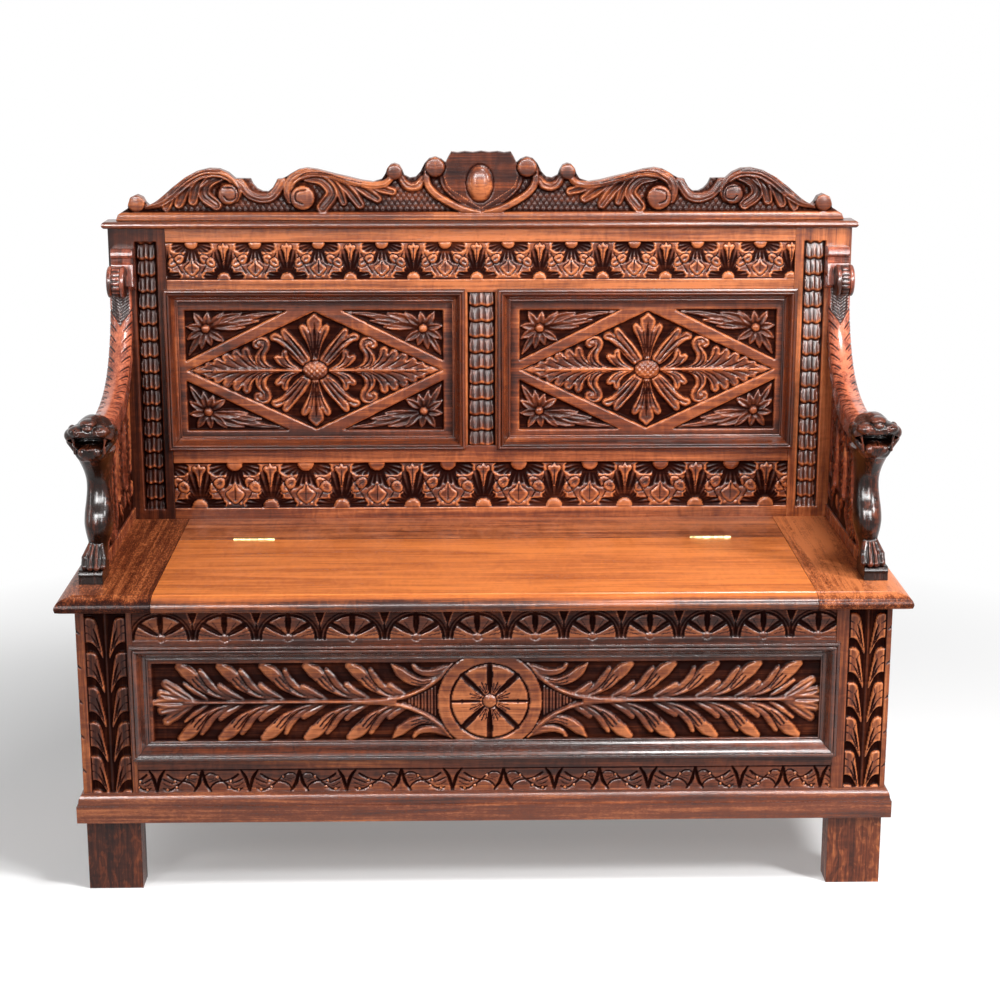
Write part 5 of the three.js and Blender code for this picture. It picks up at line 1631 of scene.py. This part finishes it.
    def block(self) -> Piece:
        """Shapes the block under the paw."""
        front, top, foot = self.back - self.reach, self.block_top, self.seat + 0.3
        nose = [(front + 7 * (1 - cos(a)), top - 8.5 + 8.5 * sin(a)) for a in np.linspace(0, pi / 2, 8)]
        profile = [(front + self.block_length, foot), (front + self.block_length, top), *reversed(nose),
            (front + 0.6, top - 10), (front + 1.6, top - 10.6), (front + 1.6, foot)]
        return extruded(self.name("leg_block"), profile, self.centre() - self.half, self.centre() + self.half, 1,
            0.46)

    def placed(self, name: str, lump: Sculpt, wide: float = 1) -> Piece:
        """Skins a lump made about the middle of the head, and sets it in this arm."""
        corners, faces, wear = lump.skin()
        corners = corners * (self.side.value * wide, 1, 1) + (self.side.value * self.head_x, 0, 0)
        if self.side is Side.LEFT:
            faces = faces[:, ::-1]
        return new_object(name, corners, faces.tolist(), True, wear)

    def head(self) -> Piece:
        """Carves the lion's head with its open mouth."""
        lump = Sculpt((-50, -216, 686), (50, -92, 778), 0.9)
        lump.shape(((0, -146, 738), (30, 44, 22), 3), ((0, -180, 742), (33, 26, 15), 6), ((0, -128, 716),
            (19, 38, 26), 8), ((0, -172, 753), (17, 34, 12.5), 3))
        for s in (-1, 1):
            lump.shape(((s * 17, -194, 744), (17.5, 13.5, 9.5), 2.5), ((s * 29, -182, 736), (14, 16, 12), 4),
                ((s * 34, -178, 726), (s * 14, -184, 703), 7, 7.5, 4), ((s * 24, -158, 727), (12, 26, 18), 6))
        lump.shape(((0, -168, 706), (27, 32, 15), 6), ((0, -198, 728.5), (37, 36, 8), -1.2),
            ((0, -190, 724), (29, 28, 10), -2), ((0, -168, 738), (24, 22, 5), 1.5), ((-12, -193, 711),
            (12, -193, 711), 8, 2), ((0, -182, 716), (16, 22, 6), 2.5), ((0, -204, 719), (0, -178, 722.5), 0.9, -1.2))
        for x in (-12, -6, 0, 6, 12):
            lump.shape(((x * 1.1, -205, 709), (x, -202, 701), 0.8, -1))
        for s in (-1, 1):
            lump.shape(((s * 21, -203, 726), (s * 14, -200, 702), 1.9, 1.3, -0.8), ((s * 30, -196, 727),
                (s * 16.5, -200, 704), 1.2, 0.9, -0.7), ((s * 27, -193, 736), (s * 25, -195, 724), 3.4, 1.2, 0.8),
                ((s * 23.5, -195, 711), (s * 24.5, -196, 722), 3.2, 1.2, 0.8))
            for k in range(5):
                z = 751 - 3 * k
                lump.shape(((s * 7, -211 + 0.2 * k, z - 2.6), (s * 20, -206 + 0.5 * k, z + 0.4), 0.85, -0.5),
                    ((s * 20, -206 + 0.5 * k, z + 0.4), (s * 34, -193 + k, z - 0.8), 0.85, -0.5))
            lump.shape(((s * 18, -202, 760), (s * 0.6, -211, 745), 2, 1.5, -1), ((s * 18, -202, 760),
                (s * 21, -166, 764), 2, 1.6, -1.4), ((s * 5.2, -210.5, 753), (2.6, 3, 1.5), -0.8))
        lump.shape(((0, -196, 757), (14, 14, 7.5), 2), ((0, -206, 751), (8.5, 6, 4.6), 1.2),
            ((-11, -210, 757), (11, -210, 757), 0.9, -0.8), ((0, -211, 747), (0, -209, 737), 1, -0.6))
        for s in (-1, 1):
            lump.shape(((s * 34, -160, 734), (8, 16, 14), 3))
            if s < 0:
                lump.shape(((-42, -166, 734), (7, 10, 9), -1), ((-38, -167, 733), (4.6, 5.4, 5), 0.8))
            lump.shape(((s * 29, -184, 752), (4.5, 6, 3.2), -1.2))
            for k in range(4):
                z = 728 - 7 * k
                lump.shape(((s * (36 - 2 * k), -158 + 3 * k, z), (s * (28 - 2 * k), -112 + 2 * k, z - 8), 1.3, -1))
        return self.placed(self.name("lion_head"), lump, 0.94)

    def leg(self) -> Piece:
        """Carves the lion's leg and its paw."""
        lump = Sculpt((-38, -200, 514), (38, -92, 712), 0.95)
        rows = smooth_path([(514, -178, -130, 17, 5), (530, -176, -130, 17, 5), (541, -170, -129, 16, 4),
            (549, -166, -129, 15.4, 2.5), (556, -166, -128, 16, 1), (563, -169, -126, 18, 0),
            (575, -174, -120, 21, -0.8), (589, -176, -118, 22.4, -1), (606, -171, -117, 22, -1.4),
            (622, -162, -116, 20.6, -1.8), (640, -156, -114, 19.4, -2), (656, -156, -110, 19.6, -1.6),
            (672, -163, -107, 22, -1), (688, -174, -105, 26, 0), (702, -184, -104, 31, 0), (718, -186, -103, 34, 0)])
        z = lump.z
        front, rear, half, aside = (np.interp(z, rows[:, 0], rows[:, k]) for k in (1, 2, 3, 4))
        middle, deep = (front + rear) / 2, (rear - front) / 2
        k = (np.abs((lump.x - aside) / half) ** 2.2 + np.abs((lump.y - middle) / deep) ** 2.2) ** (1 / 2.2)
        lump.field = ((k - 1) * np.minimum(half, deep) * 0.92).astype(np.float32)
        for x, out in ((-14.4, 0), (-4.9, 4), (4.9, 4), (14.4, 0)):
            lump.shape(((x * 0.55 + 3, -161, 556), (x + 5, -172 - out, 536), 4.2, 5.4, 1.2),
                ((x + 5, -172 - out, 536), (x + 5, -180 - out, 523), 5.2, 5.6, 1), ((x, -189 - out, 526),
                (x + 10, -189 - out, 526), 1, -0.8))
        for x in (-9.7, 0, 9.7):
            lump.shape(((x + 5, -194, 517), (x * 0.6 + 4, -168, 552), 2, 1.2, -0.8))
        lump.field = np.maximum(lump.field, 517.6 - z)
        lump.field = np.maximum(lump.field, z - 706)
        return self.placed(self.name("lion_leg"), lump)


@dataclass
class PiercedPanel:
    """The pierced leaf panel under an arm."""

    arm: LionArm
    thick: float = 20
    rail: float = 22
    step: float = 1.5
    opening: float = 0.74
    finish: OakFinish = OakFinish("carved_infill", Grain.ALONG_Z, body=(0.2, 0.045, 0.022), shine=0.22)
    holes: tuple[tuple[float, ...], ...] = ((0.85, 0.11, 0.78, 0.115, 0.74, 0.2, 0.75, 0.3, 0.77, 0.37, 0.82, 0.36,
        0.85, 0.25), (0.64, 0.13, 0.6, 0.26, 0.63, 0.36, 0.55, 0.37, 0.52, 0.26, 0.56, 0.13),
        (0.43, 0.12, 0.46, 0.26, 0.4, 0.37, 0.33, 0.39, 0.36, 0.26, 0.34, 0.12), (0.23, 0.12, 0.27, 0.26, 0.22, 0.4,
        0.14, 0.45, 0.18, 0.28, 0.14, 0.12), (0.06, 0.15, 0.09, 0.32, 0.06, 0.5, 0.035, 0.52, 0.03, 0.3))
    fronds: tuple[tuple[float, ...], ...] = ((0.69, 0.07, 0.67, 0.2, 0.7, 0.33, 0.68, 0.44),
        (0.49, 0.07, 0.5, 0.2, 0.49, 0.33, 0.47, 0.45), (0.29, 0.07, 0.31, 0.22, 0.28, 0.36, 0.26, 0.49),
        (0.1, 0.07, 0.13, 0.24, 0.1, 0.42, 0.09, 0.56), (0.83, 0.07, 0.8, 0.05, 0.74, 0.06, 0.7, 0.13),
        (0.6, 0.07, 0.57, 0.05, 0.53, 0.06, 0.5, 0.13))

    def across(self, shares: Sequence[float]) -> Array:
        """Turns shares of the arm into points of the panel's own coordinates."""
        arm = self.arm
        return np.reshape(shares, (-1, 2)) * (arm.side.value * arm.reach, arm.rise) + (0, arm.seat)

    def outline(self) -> Array:
        """Gives the panel's edge."""
        arm, sign = self.arm, self.arm.side.value
        path = arm.rest_path(90)
        way = headings(path)
        under = path + np.stack([-way[:, 1], way[:, 0]], axis=-1) * 26
        reach = arm.back - under[:, 0]
        keep = (reach > 0.6) & (reach < 0.8 * arm.reach)
        top = [(sign * r, z) for r, z in zip(reach[keep], under[keep][:, 1])]
        foot, front = arm.seat + 0.3, arm.reach - arm.block_length - 1
        edge = 0.83 * arm.reach
        return np.array([(sign * front, foot), (sign * 0.3, foot), (sign * 0.3, top[0][1]), *top,
            (sign * edge, arm.seat + 0.43 * arm.rise), (sign * edge, foot + self.rail), (sign * front,
            foot + self.rail)], float)

    def lobes(self, face: Relief, path: Array) -> None:
        """Lays curling leaf lobes off both sides of a frond."""
        for start in range(1, 22, 4):
            for side in (-1, 1):
                x, z = path[start + (side > 0)]
                lobe = [(x, z), (x + side * 9, z + 3), (x + side * 19, z + 9), (x + side * 25, z + 17)]
                # the left panel's lobes get a lower tone as painted shade
                face.stroke(lobe, (4, 8, 7.5, 4.5), CUPPED, (-1.4, 0.2, 0.4, -0.8), (0.2,
                    0.5 if self.arm.side is Side.LEFT else 0.62))

    def build(self) -> Piece:
        """Carves the panel on both faces."""
        arm, sign = self.arm, self.arm.side.value
        outline = self.outline()
        low, high = outline.min(axis=0) - self.step, outline.max(axis=0) + self.step
        face = Relief(low[0], high[0], low[1], high[1], self.step, -4.5, 0.4)
        face.height[:] = -4.5
        face.tone[:] = 0.1
        rail = face.vv < arm.seat + self.rail
        face.level(rail, 0, 0.55)
        loops = [smooth_path(self.across((*hole, *hole[:2])), 8)[:-1] for hole in self.holes]
        loops = [loop.mean(axis=0) + (loop - loop.mean(axis=0)) * self.opening for loop in loops]
        for loop in loops:
            rows, cols = face.window(loop, 8)
            distance, _, _ = nearest_on_path(np.vstack([loop, loop[:1]]), face.uu[rows, cols], face.vv[rows, cols])
            near = distance < 7
            face.height[rows, cols][near] = np.maximum(face.height[rows, cols], -4.5 + 3.6 * (1 - distance / 7))[near]
            face.tone[rows, cols][near] = np.maximum(face.tone[rows, cols], 0.5 - 0.05 * distance)[near]
        for frond in self.fronds:
            path = self.across(frond)
            face.stroke(path, (8, 13, 14, 12, 9), LEAF, (-1.8, -1.2, -1.2, -1.6), (0.3, 0.5), ribs=0.55, rib_count=11)
            self.lobes(face, resampled(smooth_path(path, 8), 24))
        wood = face.cells(outline)
        for loop in loops:
            wood &= ~face.cells(loop)
        half = self.thick / 2

        def place(u: Array, v: Array, h: Array) -> tuple[Array, Array, Array]:
            """Sets the inner face towards the seat."""
            return sign * (arm.x - half - h), arm.back - sign * u, v

        panel = relief_solid(arm.name("arm_panel"), face, place, -self.thick, wood, [outline, *loops], two_sided=True)
        return set_in(panel, self.finish, Slot.DARK, arm.name("arm_infill"))


class PlainBoards:
    """The boards that keep their solids' shape: moulded, planed or turned to the wall."""

    seat_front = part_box("seat_lid")[0][1]

    def finish_for(self, node: str) -> OakFinish | BrassFinish:
        """Picks a node's finish."""
        if node.startswith("hinge_"):
            return BrassFinish()
        grain, left = Grain.ALONG_X, node.endswith("_left")
        if node.startswith(("foot_", "back_muntin")) or "moulding" in node and node.endswith(("_left", "_right")):
            grain = Grain.ALONG_Z
        if node.startswith(("side_", "seat_end", "lid_batten", "plinth_left", "plinth_right")):
            grain = Grain.ALONG_Y
        # the left feet and seat end get lower tones as painted shade, the right ones higher as painted light
        foot, end = (0.24, 0.56) if left else (0.5, 0.86)
        pale = dict(recess=(0.06, 0.022, 0.01), dark=(0.12, 0.046, 0.02), body=(0.23, 0.095, 0.042),
            rubbed_and_lit=(0.34, 0.16, 0.075))
        lid = dict(body=(0.4, 0.1, 0.026), rubbed_and_lit=(0.74, 0.215, 0.05), nose=self.seat_front)
        for starts, name, settings in (("foot_", f"foot_{foot}", dict(even=foot, shine=0.34, flecks=0.18,
                fleck_scale=0.3)), ("seat_end", f"seat_end_{end}", dict(even=end, mottle=0.2, shine=0.3, lustre=0.3,
                flecks=0.3, nose=self.seat_front)), ("seat_lid", "seat_lid", dict(lid, even=0.78, mottle=0.25,
                streaks=0.6, shine=0.24)), ("seat_rear_rail", "seat_rail", dict(even=0.72, shine=0.28)),
                (("chest_", "lid_batten"), "plain", dict(pale, even=0.6, shine=0.6)), ("front_moulding",
                "front_moulding", dict(even=0.27, shine=0.17, lustre=2.2)), (("back_moulding", "cornice"),
                "back_moulding", dict(even=0.42, shine=0.22, lustre=1.6)), ("plinth", "plinth",
                dict(even=0.52, mottle=0.2, shine=0.22, lustre=1.5, flecks=0.08))):
            if node.startswith(starts):
                return OakFinish(name, grain, **settings)
        return OakFinish("board", grain, even=0.5)

    def dress(self) -> Iterable[Piece]:
        """Gives each node that still shows its finish."""
        for name, node in sorted(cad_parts.items()):
            if not node.hide_render:
                dress(node, self.finish_for(name))
                yield node


@dataclass
class Studio:
    """A pale floor, soft lamps and a camera at the photograph's angle."""

    eye: tuple[float, float, float] = (-0.041474, -3.332786, 1.415284)
    yaw: float = 1.191
    pitch: float = 14.003
    roll: float = 0.029
    lens: float = 74.449
    sky: float = 0.1

    def build(self) -> None:
        """Sets the camera, the floor, the lamps and the world."""
        scene = bpy.context.scene
        scene.view_settings.view_transform = "Standard"
        self.camera(scene)
        self.floor()
        self.lamp("key", (1.95, -1.35, 1.75), (0.2, 0, 0.6), (0.4, 0.6), 60)
        self.lamp("high", (0.75, -1, 2.7), (0.1, 0, 0.5), (0.7, 0.4), 56)
        self.lamp("fill", (-1.7, -2.6, 1.9), (-0.1, 0.1, 0.6), (0.6, 0.8), 22)
        self.lamp("edge", (-2.1, -0.55, 1.2), (0, 0.1, 0.7), (0.2, 1.2), 10)
        self.lamp("strip", (0, -2.4, 1.86), (0, 0, 0.5), (3, 0.3), 150, gleam=True)
        for side in Side:
            self.lamp(f"strip_{side.name.lower()}", (side.value * 1.1, -2.4, 1.5), (side.value * 0.55, 0, 0.6),
                (0.2, 1), 34, gleam=True)
        scene.world = bpy.data.worlds.new("studio")
        build = NodeBuilder(scene.world)
        white = (1, 1, 1, 1)
        light = build.node("Background", {"Color": white, "Strength": self.sky})
        shown = build.node("Background", {"Color": white, "Strength": 1})
        build.node("OutputWorld", {"Surface": build.node("MixShader", {0: build.seen_ray(), 1: light, 2: shown})})

    def camera(self, scene: bpy.types.Scene) -> None:
        """Sets the camera from its measured place and angles."""
        yaw, pitch, roll = (radians(a) for a in (self.yaw, self.pitch, self.roll))
        ahead = Vector((sin(yaw) * cos(pitch), cos(yaw) * cos(pitch), -sin(pitch)))
        level = Vector((cos(yaw), -sin(yaw), 0))
        above = level.cross(ahead)
        right = level * cos(roll) + above * sin(roll)
        up = above * cos(roll) - level * sin(roll)
        data = bpy.data.cameras.new("camera")
        data.sensor_width, data.lens = 36, self.lens
        camera = bpy.data.objects.new("camera", data)
        scene.collection.objects.link(camera)
        turn = Matrix((right, up, -ahead)).transposed()
        camera.matrix_world = Matrix.Translation(self.eye) @ turn.to_4x4()
        scene.camera = camera

    def lamp(self, name: str, at: Sequence[float], towards: Sequence[float], size: Point, power: float,
            gleam: bool = False) -> None:
        """Adds a soft lamp of a width and a height; a gleam shows only as a reflection in the polish."""
        data = bpy.data.lights.new(name, "AREA")
        data.shape, data.energy = "RECTANGLE", power
        data.size, data.size_y = size
        lamp = bpy.data.objects.new(name, data)
        bpy.context.scene.collection.objects.link(lamp)
        lamp.location = at
        lamp.visible_diffuse = not gleam
        lamp.rotation_euler = (Vector(towards) - Vector(at)).to_track_quat("-Z", "Y").to_euler()

    def floor(self) -> None:
        """Lays the pale floor."""
        reach = 9000
        corners = np.array([(-reach, -reach, 0), (reach, -reach, 0), (reach, reach, 0), (-reach, reach, 0)])
        floor = new_object("floor", corners, [[0, 1, 2, 3]], False)
        made = bpy.data.materials.new("pale_floor")
        build = NodeBuilder(made)
        under, seen = (build.node("BsdfDiffuse", {"Color": (grey, grey, grey, 1)}) for grey in (0.6, 0.72))
        near = build.node("AddShader", {0: seen, 1: build.node("Emission", {"Strength": 0.25})})
        far = build.node("VectorMath", {0: build.place()}, "Value", operation="LENGTH")
        inputs = {0: build.map_range(far, 0.9, 1.9, 0, 1), 1: near, 2: build.node("Emission")}
        shader = build.node("MixShader", {0: build.seen_ray(), 1: under, 2: build.node("MixShader", inputs)})
        build.node("OutputMaterial", {"Surface": shader})
        floor.data.materials.append(made)


def main() -> None:
    """Builds the bench, class by class, and reports each piece."""
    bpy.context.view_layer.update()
    for assembly in (BackFrame(), Crest(), ChestFront(), *map(LozengePanel, Side), *map(LionArm, Side)):
        for piece in assembly.build():
            log.info("carved %s, %d faces", piece.name, len(piece.data.polygons))
    for piece in PlainBoards().dress():
        log.info("dressed %s", piece.name)
    Studio().build()


if __name__ == "__main__":
    main()
